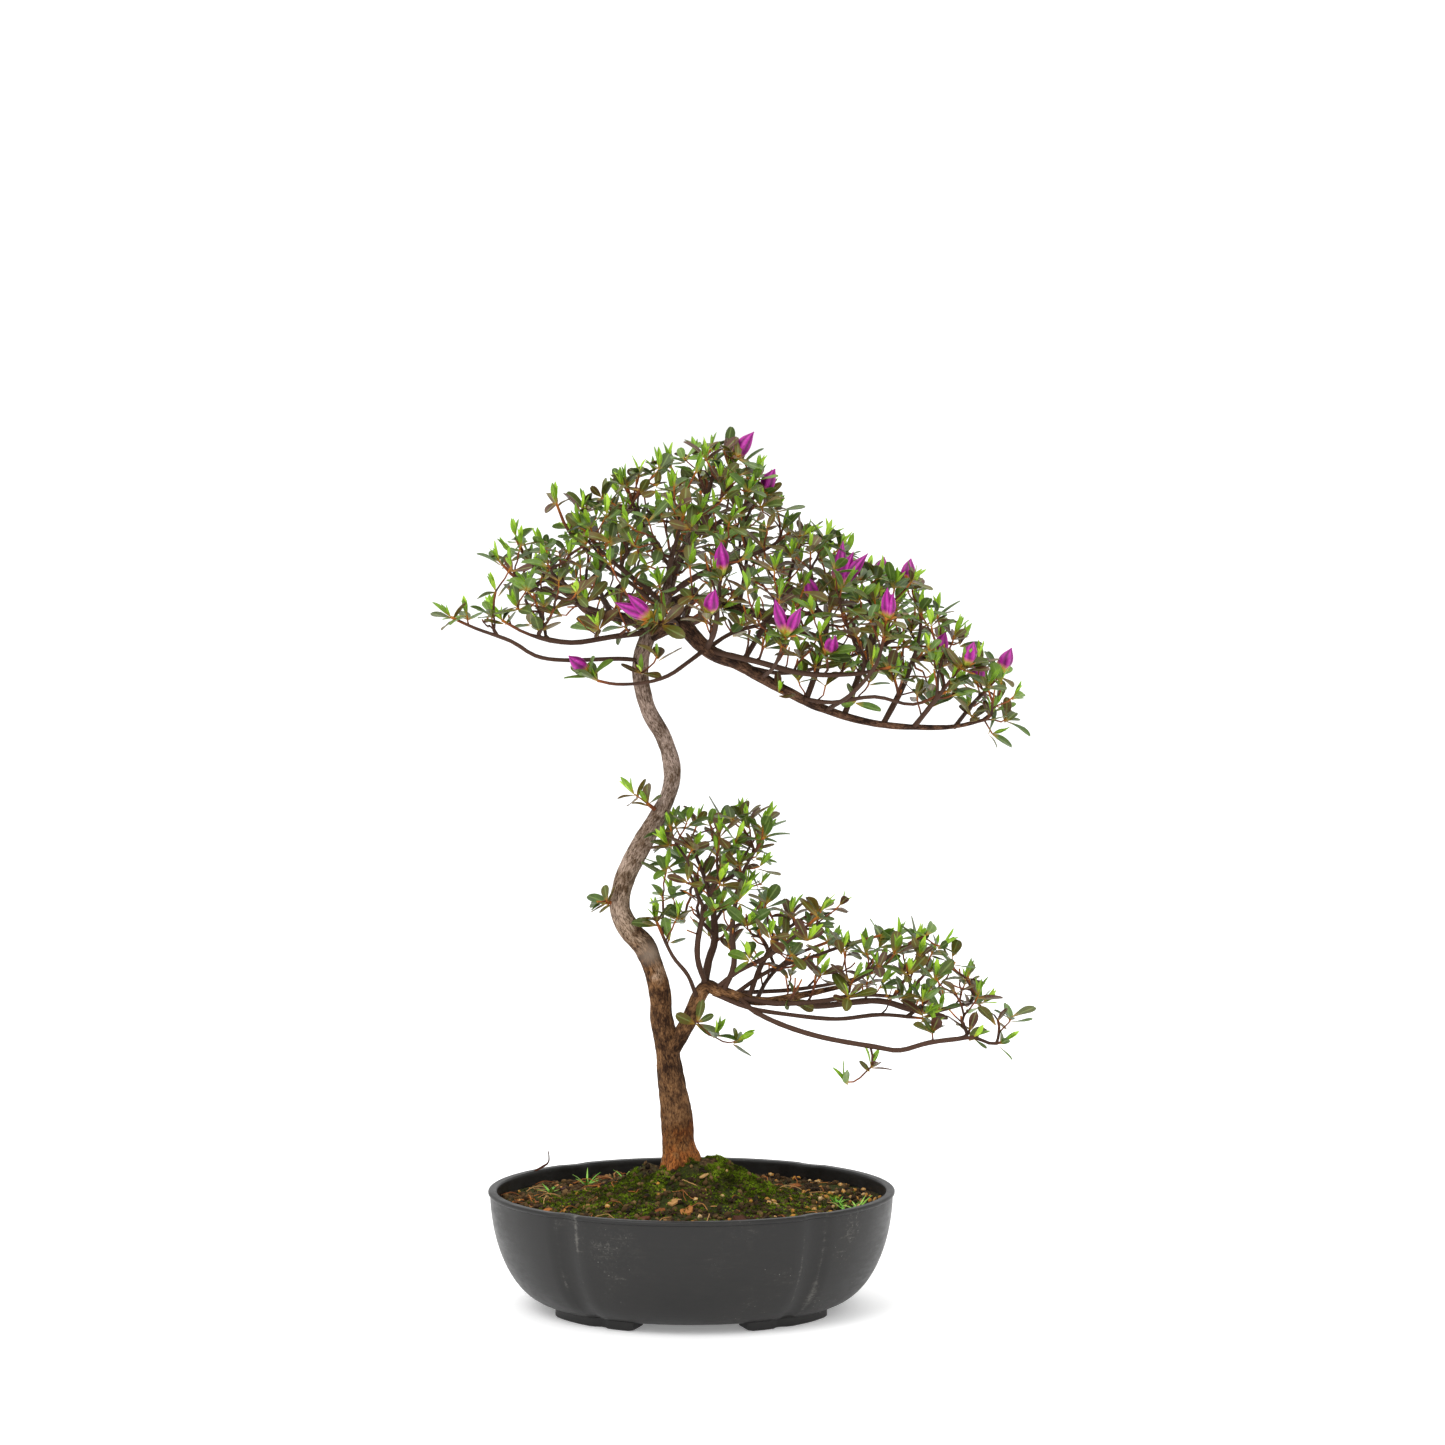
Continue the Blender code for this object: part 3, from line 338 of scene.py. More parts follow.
# The front outlines that the leaves fill, x and height above the ground, in mm
UPPER_OUTLINE = (
    (-168, 441), (-150, 450), (-132, 452), (-120, 488), (-106, 496), (-84, 492), (-72, 520),
    (-54, 526), (-32, 543), (-6, 550), (18, 559), (38, 551), (56, 526), (64, 504), (84, 500),
    (100, 492), (122, 474), (142, 472), (160, 450), (180, 428), (204, 412), (212, 388),
    (192, 370), (172, 380), (140, 390), (100, 400), (43, 418), (6, 432), (-51, 428), (-83, 424),
    (-121, 432),
)
LOWER_OUTLINE = (
    (-24, 248), (-26, 268), (-22, 318), (-8, 319), (28, 322), (56, 320), (50, 292), (54, 266),
    (84, 254), (94, 240), (112, 238), (134, 250), (156, 246), (174, 232), (184, 212), (204, 192),
    (198, 176), (160, 184), (133, 194), (100, 204), (60, 208), (30, 216), (16, 232), (-4, 238),
)

# The canopies' outlines hold for an eye at this height and distance, in mm
EYE_HEIGHT = 586.5
EYE_DISTANCE = 2400.0

# Single whorls that grow apart from the rest, x and y from the pot's middle and height, in mm
STRAY_WHORLS = (
    (113, -40, 162), (97, -38, 152), (15, -14, 178), (29, -8, 173), (4, -4, 184), (203, -16, 190),
    (196, -34, 177), (-31, -18, 408), (-21, -20, 419), (-60, -6, 262), (-36, 6, 329),
    (151, -14, 207), (147, -24, 193), (152, -30, 184), (182, -10, 198), (176, -26, 184), (99, -30, 205),
    (124, -26, 205), (82, -8, 256), (94, -8, 260), (-22, -14, 254), (-14, -18, 240), (66, -10, 200),
    (55, -30, 397), (67, -34, 405), (84, -36, 402), (78, -30, 414), (104, -36, 393), (112, -30, 405),
    (124, -32, 412), (141, -32, 396), (133, -26, 404), (151, -28, 389), (163, -30, 395), (176, -24, 382),
    (189, -20, 370), (199, -14, 379), (96, -28, 413),
)

# Roots that show above the soil: x, y, height above the rim, radius
ROOT_ROUTES = {
    "front_root": ((-11, 3, 20, 5.0), (-12, -1, 12, 4.2), (-13, -5, 5, 3.0), (-15, -9, -2, 2.0)),
}

# A dry root that hangs over the rim at the left: the same values
DRY_TWIG = ((-112, 30, -7, 0.5), (-104, 36, -1, 0.6), (-98, 38, 2, 0.9), (-94, 39, 5, 0.6),
            (-94, 39, 12, 0.4))

# Grown leaves take tones up to this one, young leaves those above it
OLDEST_TONE = 0.66

# How many grown and young leaves a whorl may have, and the share of whorls without young ones
GROWN_COUNTS = (2, 3, 3, 4, 4, 5)
YOUNG_COUNTS = (2, 3, 4, 4)
NO_YOUNG = 0.22

# Pitch from the shoot in degrees: least, most and most common for grown leaves, the first two for young
GROWN_PITCH = (28.0, 98.0, 64.0)
YOUNG_PITCH = (4.0, 28.0)

# Leaf shapes: where they are widest, how blunt, and their folds, bends and twists
LEAF_SHAPES = {
    "grown": (1.65, 0.50, ((0.09, -0.06, 0.2), (0.18, -0.14, -0.3), (0.05, 0.06, 0.0),
                           (0.13, -0.20, 0.4), (0.07, 0.0, -0.2))),
    "young": (1.05, 0.95, ((0.16, 0.05, 0.0), (0.10, -0.10, 0.0), (0.22, 0.10, 0.0))),
}

# The canopies: the share of the bare twigs in each, and how near to an outline whorls grow, in mm
BARE_SHARES = (0.65, 0.35)
OUTLINE_MARGIN = 7.0
OUTLINE_BAND = 10.0
BARE_INSET = 20.0
BARE_MARGIN = 6.0
BARE_LEVEL = 0.62
EDGE_TRIES = 4000
CANOPY_TRIES = 40000
MOSS_TRIES = 30000

# A bud's skin, how much longer it is drawn than its solid, and the scales at its foot
BUD_SIDES = 30
BUD_LEVELS = 18
BUD_GROWTH = 1.12
BUD_SCALES = 7

# The stage: half the floor's side, its glow, the sky's strength, how far the camera stands to the
# right of the pot's middle, and the lights by place, size and power
FLOOR_REACH = 30.0
FLOOR_GLOW = 0.22
SKY_STRENGTH = 1.06
CAMERA_ASIDE = 0.0198
SENSOR_WIDTH = 36.0
LIGHTS = {
    "key_light": ((-0.9, -1.3, 1.9), 1.2, 22.0),
    "fill_light": ((1.3, -1.0, 1.2), 1.2, 2.0),
    "top_light": ((0.2, 0.3, 2.1), 1.4, 12.0),
}


class Pot(bpy.types.PropertyGroup):
    """The pot's finish and how finely it is turned."""
    steps: bpy.props.IntProperty(
        name="Steps", description="Steps round the bowl", default=144, min=48)
    side_rings: bpy.props.IntProperty(
        name="Side rings", description="Rings up the bowl's side", default=22, min=8)
    colour: bpy.props.FloatVectorProperty(
        name="Plastic", description="Colour of the moulded plastic", subtype="COLOR", size=4,
        default=(0.0045, 0.0041, 0.0038, 1.0))


class Ground(bpy.types.PropertyGroup):
    """What lies in the pot."""
    crumbs: bpy.props.IntProperty(
        name="Crumbs", description="Loose crumbs and grains on the soil", default=2800, min=0)
    crumb_size: bpy.props.FloatProperty(
        name="Crumb size", description="Width of the largest crumbs", default=0.0042, **LENGTH)
    litter: bpy.props.IntProperty(
        name="Litter", description="Dry roots and twigs on the soil", default=70, min=0)
    moss_tufts: bpy.props.IntProperty(
        name="Moss tufts", description="Tufts on each moss cushion", default=3600, min=0)
    moss_height: bpy.props.FloatProperty(
        name="Moss height", description="Height of the moss cushions", default=0.0026, **LENGTH)


class Wood(bpy.types.PropertyGroup):
    """Trunk and limbs."""
    trunk_sides: bpy.props.IntProperty(
        name="Trunk sides", description="Sides of the trunk's rings", default=60, min=12)
    limb_sides: bpy.props.IntProperty(
        name="Limb sides", description="Sides of the limbs' rings", default=26, min=8)
    ring_spacing: bpy.props.FloatProperty(
        name="Ring spacing", description="Distance between rings along the wood", default=0.0017, **LENGTH)
    fissure_depth: bpy.props.FloatProperty(
        name="Fissure depth", description="Depth of the cracks in the bark", default=0.00055, **LENGTH)


class Foliage(bpy.types.PropertyGroup):
    """Twigs and leaves."""
    upper_whorls: bpy.props.IntProperty(
        name="Upper whorls", description="Leaf whorls in the upper canopy", default=560, min=1)
    lower_whorls: bpy.props.IntProperty(
        name="Lower whorls", description="Leaf whorls in the lower canopy", default=110, min=1)
    bare_twigs: bpy.props.IntProperty(
        name="Bare twigs", description="Leafless twigs in the shade of the canopies", default=300, min=0)
    whorl_spacing: bpy.props.FloatProperty(
        name="Whorl spacing", description="Least distance between whorls seen from the front",
        default=0.0120, **LENGTH)
    upper_depth: bpy.props.FloatProperty(
        name="Upper depth", description="Reach of the upper canopy to the front and the back",
        default=0.078, **LENGTH)
    lower_depth: bpy.props.FloatProperty(
        name="Lower depth", description="Reach of the lower canopy to the front and the back",
        default=0.055, **LENGTH)
    leaf_length: bpy.props.FloatProperty(
        name="Leaf length", description="Length of the largest leaves", default=0.0175, **LENGTH)
    tip_radius: bpy.props.FloatProperty(
        name="Tip radius", description="Radius of the thinnest twigs", default=0.00055, **LENGTH)


class Flower(bpy.types.PropertyGroup):
    """The flower buds."""
    radius: bpy.props.FloatProperty(
        name="Bud radius", description="Radius of a rolled bud", default=0.0046, **LENGTH)
    colour: bpy.props.FloatVectorProperty(
        name="Petal", description="Main colour of the petals", subtype="COLOR", size=4,
        default=(0.35, 0.006, 0.24, 1.0))


class Stage(bpy.types.PropertyGroup):
    """Floor, light and camera."""
    camera_distance: bpy.props.FloatProperty(
        name="Camera distance", description="From the middle of the pot", default=2.4, **LENGTH)
    camera_height: bpy.props.FloatProperty(
        name="Camera height", description="Above the floor", default=0.5865, **LENGTH)
    camera_tilt: bpy.props.FloatProperty(
        name="Camera tilt", description="Below the horizon", default=math.radians(5.03),
        unit="ROTATION", subtype="ANGLE")
    focal_length: bpy.props.FloatProperty(
        name="Focal length", description="Focal length in mm on a 36 mm sensor", default=94.92)


def colour(text):
    """An sRGB hex colour as linear red, green, blue and alpha."""
    parts = [int(text[index:index + 2], 16) / 255.0 for index in (1, 3, 5)]
    return (*[part / 12.92 if part <= 0.04045 else ((part + 0.055) / 1.055) ** 2.4 for part in parts], 1.0)


def feed(tree, socket, value):
    """Link a socket to a node's first output or to the output given, or set it to a plain value."""
    if isinstance(value, bpy.types.Node):
        value = value.outputs[0]
    if isinstance(value, bpy.types.NodeSocket):
        tree.links.new(value, socket)
    else:
        socket.default_value = value


def add(tree, kind, sources, stops=(), **settings):
    """Add a shader node with its settings; sources feed its sockets and stops fill a ramp."""
    made = tree.nodes.new("ShaderNode" + kind)
    for name, value in settings.items():
        setattr(made, name, value)
    for socket, value in sources.items():
        feed(tree, made.inputs[socket], value)
    for index, (position, shade) in enumerate(stops):
        ramp = made.color_ramp.elements
        stop = ramp[index] if index < 2 else ramp.new(position)
        stop.position = position
        stop.color = colour(shade)
    return made


def surface(name, roughness, specular):
    """A new material, its node tree, its Principled shader and its Object coordinates."""
    made = bpy.data.materials.new(name)
    made.use_nodes = True
    tree = made.node_tree
    shader = tree.nodes["Principled BSDF"]
    feed(tree, shader.inputs["Roughness"], roughness)
    feed(tree, shader.inputs["Specular IOR Level"], specular)
    return made, tree, shader, add(tree, "TexCoord", {}).outputs["Object"]


def finish_surface(made, shader, shade, height, strength, depth):
    """Link a surface's colour and its relief, and hand the material back."""
    tree = made.node_tree
    feed(tree, shader.inputs["Base Color"], shade)
    feed(tree, shader.inputs["Normal"],
         add(tree, "Bump", {"Height": height, "Strength": strength, "Distance": depth}))
    return made


def moulded_plastic(base):
    """Moulded polypropylene: nearly black with a soft skin gloss, chalky where water dried on it, and paler
    along the grooves' flanks, partly dust and partly painted highlight.
    """
    made, tree, shader, place = surface("moulded_polypropylene", 0.46, 0.38)
    grain = add(tree, "TexNoise", {"Vector": place, "Scale": 1.0 / (0.9 * MM), "Detail": 3.0})
    cloud = add(tree, "TexNoise", {"Vector": place, "Scale": 1.0 / (45.0 * MM), "Detail": 5.0,
                                   "Roughness": 0.62})
    drawn = add(tree, "Mapping", {"Vector": place, "Scale": (0.25, 0.25, 1.0)}).outputs["Vector"]
    scuff = add(tree, "TexNoise", {"Vector": drawn, "Scale": 1.0 / (3.0 * MM), "Detail": 8.0,
                                   "Roughness": 0.75})
    spots = add(tree, "TexNoise", {"Vector": place, "Scale": 1.0 / (2.2 * MM), "Detail": 6.0,
                                   "Roughness": 0.8})
    rubbed = add(tree, "Math", {0: scuff, 1: cloud}, operation="MULTIPLY")
    flecks = add(tree, "Math", {0: spots, 1: cloud}, operation="MULTIPLY")
    marked = add(tree, "Math", {0: rubbed, 1: flecks}, operation="MAXIMUM")
    dots = add(tree, "TexVoronoi", {"Vector": place, "Scale": 1.0 / (4.5 * MM), "Randomness": 1.0})
    speck = add(tree, "MapRange", {"Value": dots, 1: 0.05, 2: 0.12, 3: 0.62, 4: 0.0})
    spread = add(tree, "MapRange", {"Value": cloud, 1: 0.50, 2: 0.58, 3: 0.0, 4: 1.0})
    specks = add(tree, "Math", {0: speck, 1: spread}, operation="MULTIPLY")
    # Paler bands along the flanks of the four grooves: partly dust, partly painted highlight on the groove
    # edges; the scuffs and specks are real marks
    groove = add(tree, "Attribute", {}, attribute_name="groove").outputs["Fac"]
    edge = add(tree, "ValToRGB", {"Fac": groove},
               stops=((0.02, "#000000"), (0.35, "#ffffff"), (0.70, "#101010")))
    groove_highlight_and_marks = add(tree, "Math", {0: edge, 1: 0.10, 2: marked}, operation="MULTIPLY_ADD")
    paler_share = add(tree, "Math", {0: groove_highlight_and_marks, 1: specks}, operation="MAXIMUM")
    mask = add(tree, "ValToRGB", {"Fac": paler_share},
               stops=((0.29, "#000000"), (0.36, "#3a3a3a"), (0.50, "#ffffff")))
    dusty = add(tree, "ValToRGB", {"Fac": rubbed}, stops=((0.12, "#0b0a09"), (0.34, "#1e1c1a")))
    tinted = add(tree, "Mix", {0: 0.40, 6: dusty, 7: base}, data_type="RGBA")
    shade = add(tree, "Mix", {0: mask, 6: tinted.outputs[2], 7: colour("#5c5a55")}, data_type="RGBA")
    rough = add(tree, "MapRange", {"Value": rubbed, 1: 0.15, 2: 0.45, 3: 0.36, 4: 0.62})
    feed(tree, shader.inputs["Roughness"], rough)
    return finish_surface(made, shader, shade.outputs[2], grain, 0.25, 0.15 * MM)


def woven_plastic():
    """Extruded polyethylene mesh: dark green threads that cross at right angles, with painted shade in the
    openings between them.
    """
    made, tree, shader, place = surface("extruded_mesh_plastic", 0.55, 0.4)
    threads = [add(tree, "TexWave", {"Vector": place, "Scale": 1.0 / (2.0 * MM) / WAVE_BANDS},
                   bands_direction=way).outputs["Fac"] for way in ("X", "Y")]
    weave = add(tree, "Math", {0: threads[0], 1: threads[1]}, operation="MAXIMUM")
    # Painted shade: near black in the openings between the threads
    shade = add(tree, "ValToRGB", {"Fac": weave}, stops=((0.45, "#0a0d0a"), (0.75, "#2f4a33")))
    return finish_surface(made, shader, shade, weave, 0.6, 0.4 * MM)


def pumice():
    """Sifted pumice: pale chalky grains, packed, with painted shade in the gaps between them."""
    made, tree, shader, place = surface("sifted_pumice", 0.95, 0.2)
    grains = add(tree, "TexVoronoi", {"Vector": place, "Scale": 1.0 / (3.5 * MM)})
    edges = add(tree, "TexVoronoi", {"Vector": place, "Scale": 1.0 / (3.5 * MM)},
                feature="DISTANCE_TO_EDGE")
    # Painted shade: near-black brown in the gaps between the grains
    gap = add(tree, "ValToRGB", {"Fac": edges}, stops=((0.02, "#2a2119"), (0.12, "#ffffff")))
    tone = add(tree, "ValToRGB", {"Fac": add(tree, "SeparateColor", {"Color": grains.outputs["Color"]})
                                  .outputs["Red"]},
               stops=((0.0, "#8e7c62"), (0.6, "#c6b493"), (1.0, "#dccfb4")))
    shade = add(tree, "Mix", {0: 1.0, 6: tone, 7: gap}, data_type="RGBA", blend_type="MULTIPLY")
    return finish_surface(made, shader, shade.outputs[2], edges, 0.8, 1.0 * MM)


def potting_soil():
    """Bark and clay soil: damp dark brown crumbs with paler dry ones and a green film of algae."""
    made, tree, shader, place = surface("bark_and_clay_soil", 0.92, 0.18)
    crumb = add(tree, "TexVoronoi", {"Vector": place, "Scale": 1.0 / (2.6 * MM)})
    fine = add(tree, "TexNoise", {"Vector": place, "Scale": 1.0 / (3.0 * MM), "Detail": 8.0,
                                  "Roughness": 0.7})
    damp = add(tree, "TexNoise", {"Vector": place, "Scale": 1.0 / (22.0 * MM), "Detail": 3.0})
    dark = add(tree, "ValToRGB", {"Fac": fine},
               stops=((0.30, "#140e06"), (0.50, "#3a2a16"), (0.70, "#6b5436")))
    green = add(tree, "ValToRGB", {"Fac": fine}, stops=((0.30, "#101405"), (0.60, "#343a0c")))
    film = add(tree, "ValToRGB", {"Fac": damp}, stops=((0.40, "#000000"), (0.58, "#ffffff")))
    shade = add(tree, "Mix", {0: film, 6: dark, 7: green}, data_type="RGBA")
    return finish_surface(made, shader, shade.outputs[2], crumb, 0.7, 1.2 * MM)


def toned(name, roughness, specular, stops, grain, depth):
    """A surface whose colour runs along its pieces' own tone, with a fine relief of a given grain."""
    made, tree, shader, place = surface(name, roughness, specular)
    tone = add(tree, "Attribute", {}, attribute_name="tone").outputs["Fac"]
    mottle = add(tree, "TexNoise", {"Vector": place, "Scale": 1.0 / grain, "Detail": 4.0})
    spread = add(tree, "MapRange", {"Value": mottle, 1: 0.3, 2: 0.7, 3: -0.06, 4: 0.06})
    mixed = add(tree, "Math", {0: tone, 1: spread}, operation="ADD")
    shade = add(tree, "ValToRGB", {"Fac": mixed}, stops=stops)
    return finish_surface(made, shader, shade, mottle, 0.6, depth)


def soil_crumbs():
    """Sifted soil crumbs: mostly damp brown, some dry and tan, a few baked orange clay or pale grit."""
    stops = ((0.0, "#1c130a"), (0.30, "#3a2916"), (0.55, "#5a4426"), (0.78, "#806440"),
             (0.92, "#b87f2e"), (1.0, "#cbb68c"))
    return toned("soil_crumbs", 0.93, 0.2, stops, 0.9 * MM, 0.3 * MM)


def bark_flakes():
    """Flaked pine bark and dry roots: fibrous, from purple-brown to orange."""
    stops = ((0.0, "#38211a"), (0.35, "#63351c"), (0.7, "#a8662f"), (1.0, "#b8935f"))
    return toned("pine_bark_flakes", 0.88, 0.2, stops, 0.7 * MM, 0.3 * MM)


def cushion_moss():
    """Cushion moss: velvety tips that catch light yellow-green over a nearly black base."""
    stops = ((0.0, "#1c1f08"), (0.25, "#343c0a"), (0.50, "#52600e"), (0.75, "#6f8c14"),
             (1.0, "#a9b444"))
    return toned("cushion_moss", 0.95, 0.1, stops, 1.1 * MM, 0.5 * MM)


def grass_blades():
    """Young grass: thin satin blades, fresh green with a yellow foot."""
    stops = ((0.0, "#8b8a35"), (0.3, "#4f8a1d"), (0.7, "#6cae2c"), (1.0, "#a4cf5a"))
    return toned("grass_blades", 0.5, 0.4, stops, 2.0 * MM, 0.1 * MM)


def azalea_bark(name, by_height):
    """Azalea bark: thin grey-tan plates cracked along the grain, warm brown and flaking near the foot."""
    made, tree, shader, place = surface(name, 0.86, 0.18)
    grain = add(tree, "Attribute", {}, attribute_name="grain").outputs["Vector"]
    drawn = add(tree, "Mapping", {"Vector": grain, "Scale": (1.0, 1.0, 0.30)}).outputs["Vector"]
    plates = add(tree, "Mapping", {"Vector": grain, "Scale": (1.0, 1.0, 0.42)}).outputs["Vector"]
    cracks = add(tree, "TexNoise", {"Vector": drawn, "Scale": 1.0 / (0.75 * MM), "Detail": 5.0,
                                    "Roughness": 0.7, "Distortion": 0.5})
    flakes = add(tree, "TexNoise", {"Vector": plates, "Scale": 1.0 / (1.9 * MM), "Detail": 8.0,
                                    "Roughness": 0.72})
    patches = add(tree, "TexNoise", {"Vector": grain, "Scale": 1.0 / (13.0 * MM), "Detail": 3.0})
    up = add(tree, "SeparateXYZ", {"Vector": place}).outputs["Z"]
    wobble = add(tree, "MapRange", {"Value": patches, 1: 0.25, 2: 0.75, 3: -0.035, 4: 0.035})
    level = add(tree, "Math", {0: up, 1: wobble}, operation="ADD").outputs[0]
    share = add(tree, "MapRange", {"Value": level, 1: RIM, 2: RIM + 0.42})
    stops = {
        "dark": ((0.045, "#6c3d1a"), (0.08, "#402611"), (0.14, "#341f10"), (0.33, "#3c2412"),
                 (0.40, "#5e4834"), (0.62, "#645040"), (1.0, "#443026")),
        "light": ((0.045, "#c0763a"), (0.08, "#956437"), (0.14, "#84603f"), (0.33, "#926a45"),
                  (0.40, "#b29a84"), (0.62, "#b5a195"), (1.0, "#866e5f")),
    }
    if not by_height:
        stops = {"dark": ((0.0, "#2a1a10"), (1.0, "#301e16")),
                 "light": ((0.0, "#7a5740"), (1.0, "#70523f"))}
    shades = {key: add(tree, "ValToRGB", {"Fac": share}, stops=runs).outputs["Color"]
              for key, runs in stops.items()}
    dark = add(tree, "MapRange", {"Value": patches, 1: 0.35, 2: 0.65, 3: 0.17, 4: -0.12})
    mottled = add(tree, "Math", {0: flakes, 1: dark}, operation="SUBTRACT")
    paler_share = add(tree, "ValToRGB", {"Fac": mottled}, stops=((0.34, "#000000"), (0.62, "#ffffff")))
    plate = add(tree, "Mix", {0: paler_share, 6: shades["dark"], 7: shades["light"]}, data_type="RGBA")
    seam = add(tree, "ValToRGB", {"Fac": cracks},
               stops=((0.38, "#6c6056"), (0.47, "#d4cec8"), (0.56, "#ffffff")))
    cracked = add(tree, "Mix", {0: 1.0, 6: plate.outputs[2], 7: seam},
                  data_type="RGBA", blend_type="MULTIPLY")
    away = add(tree, "VectorMath", {0: place, 1: SCAR}, operation="DISTANCE")
    scar = add(tree, "MapRange", {"Value": away.outputs["Value"], 1: 0.002, 2: 0.010, 3: 0.50, 4: 0.0})
    shade = add(tree, "Mix", {0: scar, 6: cracked.outputs[2], 7: colour("#b5a08c")}, data_type="RGBA")
    relief = add(tree, "Math", {0: cracks, 1: flakes}, operation="ADD")
    return finish_surface(made, shader, shade.outputs[2], relief, 0.8, 0.7 * MM)


def twig_bark():
    """Young azalea bark: smooth dark brown, turning to red and then green where it is this year's."""
    stops = ((0.0, "#8a962e"), (0.08, "#a8601e"), (0.22, "#7a4020"), (0.42, "#54311f"),
             (0.75, "#38241a"), (1.0, "#463024"))
    return toned("young_azalea_bark", 0.75, 0.22, stops, 1.6 * MM, 0.25 * MM)


def azalea_leaf():
    """Azalea leaves: leathery, satin above, dark green to bronze with a paler rib; lime when young."""
    made, tree, shader, place = surface("leathery_azalea_leaf", 0.42, 0.34)
    tone = add(tree, "Attribute", {}, attribute_name="tone").outputs["Fac"]
    across = add(tree, "SeparateXYZ", {"Vector": add(tree, "UVMap", {}, uv_map="leaf").outputs["UV"]})
    blotch = add(tree, "TexNoise", {"Vector": place, "Scale": 1.0 / (4.0 * MM), "Detail": 4.0})
    moved = add(tree, "MapRange", {"Value": blotch, 1: 0.3, 2: 0.7, 3: -0.055, 4: 0.055})
    mixed = add(tree, "Math", {0: tone, 1: moved}, operation="ADD")
    blade = add(tree, "ValToRGB", {"Fac": mixed}, stops=(
        (0.0, "#4a261a"), (0.08, "#5a3e22"), (0.17, "#5e4c12"), (0.28, "#4c5210"), (0.39, "#3a4a12"),
        (0.51, "#435e1a"), (0.64, "#5c7828"), (0.74, "#6a9016"), (0.86, "#82ae1a"), (1.0, "#a8cc34"),
    ))
    off = add(tree, "Math", {0: across.outputs["X"], 1: 0.5}, operation="SUBTRACT")
    side = add(tree, "Math", {0: off}, operation="ABSOLUTE")
    rib = add(tree, "ValToRGB", {"Fac": side}, stops=((0.02, "#ffffff"), (0.10, "#000000")))
    run = add(tree, "Math", {0: side, 1: -0.9, 2: across.outputs["Y"]}, operation="MULTIPLY_ADD")
    veins = add(tree, "Math", {0: add(tree, "Math", {0: run, 1: 44.0}, operation="MULTIPLY")
                               .outputs[0]}, operation="SINE")
    pale = add(tree, "MapRange", {"Value": veins, 1: 0.5, 2: 1.0, 3: 0.0, 4: 0.22})
    lines = add(tree, "Math", {0: rib, 1: pale}, operation="MAXIMUM")
    faint = add(tree, "Math", {0: lines, 1: 0.42}, operation="MULTIPLY")
    foot = add(tree, "MapRange", {"Value": across.outputs["Y"], 1: 0.0, 2: 0.22, 3: 0.85, 4: 0.0})
    blush = add(tree, "Mix", {0: foot, 6: blade, 7: colour("#a87a22")}, data_type="RGBA")
    shade = add(tree, "Mix", {0: faint, 6: blush.outputs[2], 7: colour("#8fa45c")}, data_type="RGBA")
    return finish_surface(made, shader, shade.outputs[2], lines, 0.35, -0.25 * MM)


def rolled_petal(main):
    """Azalea petals: silky magenta with painted shade in the folds, a pink painted highlight along the
    ridges, and a green-yellow foot.
    """
    made, tree, shader, place = surface("rolled_azalea_petal", 0.42, 0.35)
    feed(tree, shader.inputs["Sheen Weight"], 0.04)
    fold = add(tree, "Attribute", {}, attribute_name="fold").outputs["Fac"]
    along = add(tree, "Attribute", {}, attribute_name="along").outputs["Fac"]
    streak = add(tree, "TexNoise", {"Vector": place, "Scale": 1.0 / (1.6 * MM), "Detail": 4.0})
    # The fold attribute runs from the folds between petal lobes, 0, to their ridges, 1: painted shade in
    # the folds and a pink painted highlight on the ridges
    depth = add(tree, "Math", {0: fold, 1: add(tree, "MapRange", {"Value": streak, 1: 0.3,
                2: 0.7, 3: -0.12, 4: 0.12}).outputs[0]}, operation="ADD")
    painted_fold_shading = add(tree, "ValToRGB", {"Fac": depth}, stops=(
        (0.0, "#4a033e"), (0.30, "#7c0a68"), (0.65, "#9c1484"), (0.92, "#a81c8e"), (1.0, "#b640a0")))
    tinted = add(tree, "Mix", {0: 0.18, 6: painted_fold_shading, 7: main}, data_type="RGBA")
    rise = add(tree, "ValToRGB", {"Fac": along}, stops=(
        (0.0, "#000000"), (0.17, "#000000"), (0.36, "#ffffff")))
    foot = add(tree, "ValToRGB", {"Fac": along}, stops=(
        (0.0, "#7f9a22"), (0.16, "#b0aa40"), (0.30, "#dd8a6c")))
    shade = add(tree, "Mix", {0: rise, 6: foot, 7: tinted.outputs[2]}, data_type="RGBA")
    return finish_surface(made, shader, shade.outputs[2], streak, 0.3, 0.2 * MM)


def bud_scales():
    """Papery bud scales: thin, dry, from yellow-green to orange-brown."""
    stops = ((0.0, "#86962a"), (0.35, "#b89a34"), (0.6, "#d08a38"), (1.0, "#b0601e"))
    return toned("papery_bud_scales", 0.6, 0.3, stops, 1.2 * MM, 0.15 * MM)


def white_board():
    """White acrylic lit from behind, as in a light box: even, with shadows only where things touch it."""
    made, tree, shader, place = surface("backlit_white_acrylic", 0.9, 0.1)
    fibres = add(tree, "TexNoise", {"Vector": place, "Scale": 1.0 / (60.0 * MM)})
    feed(tree, shader.inputs["Emission Color"], colour("#ffffff"))
    feed(tree, shader.inputs["Emission Strength"], FLOOR_GLOW)
    shade = add(tree, "ValToRGB", {"Fac": fibres}, stops=((0.3, "#fdfdfd"), (0.7, "#ffffff")))
    return finish_surface(made, shader, shade, fibres, 0.02, 0.1 * MM)


def point(row):
    """A row of the route tables in metres, in the frame."""
    return Vector((MIDDLE.x + row[0] * MM, MIDDLE.y + row[1] * MM * FRONT_BACK_SPREAD, RIM + row[2] * MM))


def measured(x, y, z):
    """A place given in mm from the pot's middle and from the ground, in metres."""
    return Vector((MIDDLE.x + x * MM, MIDDLE.y + y * MM, z * MM))


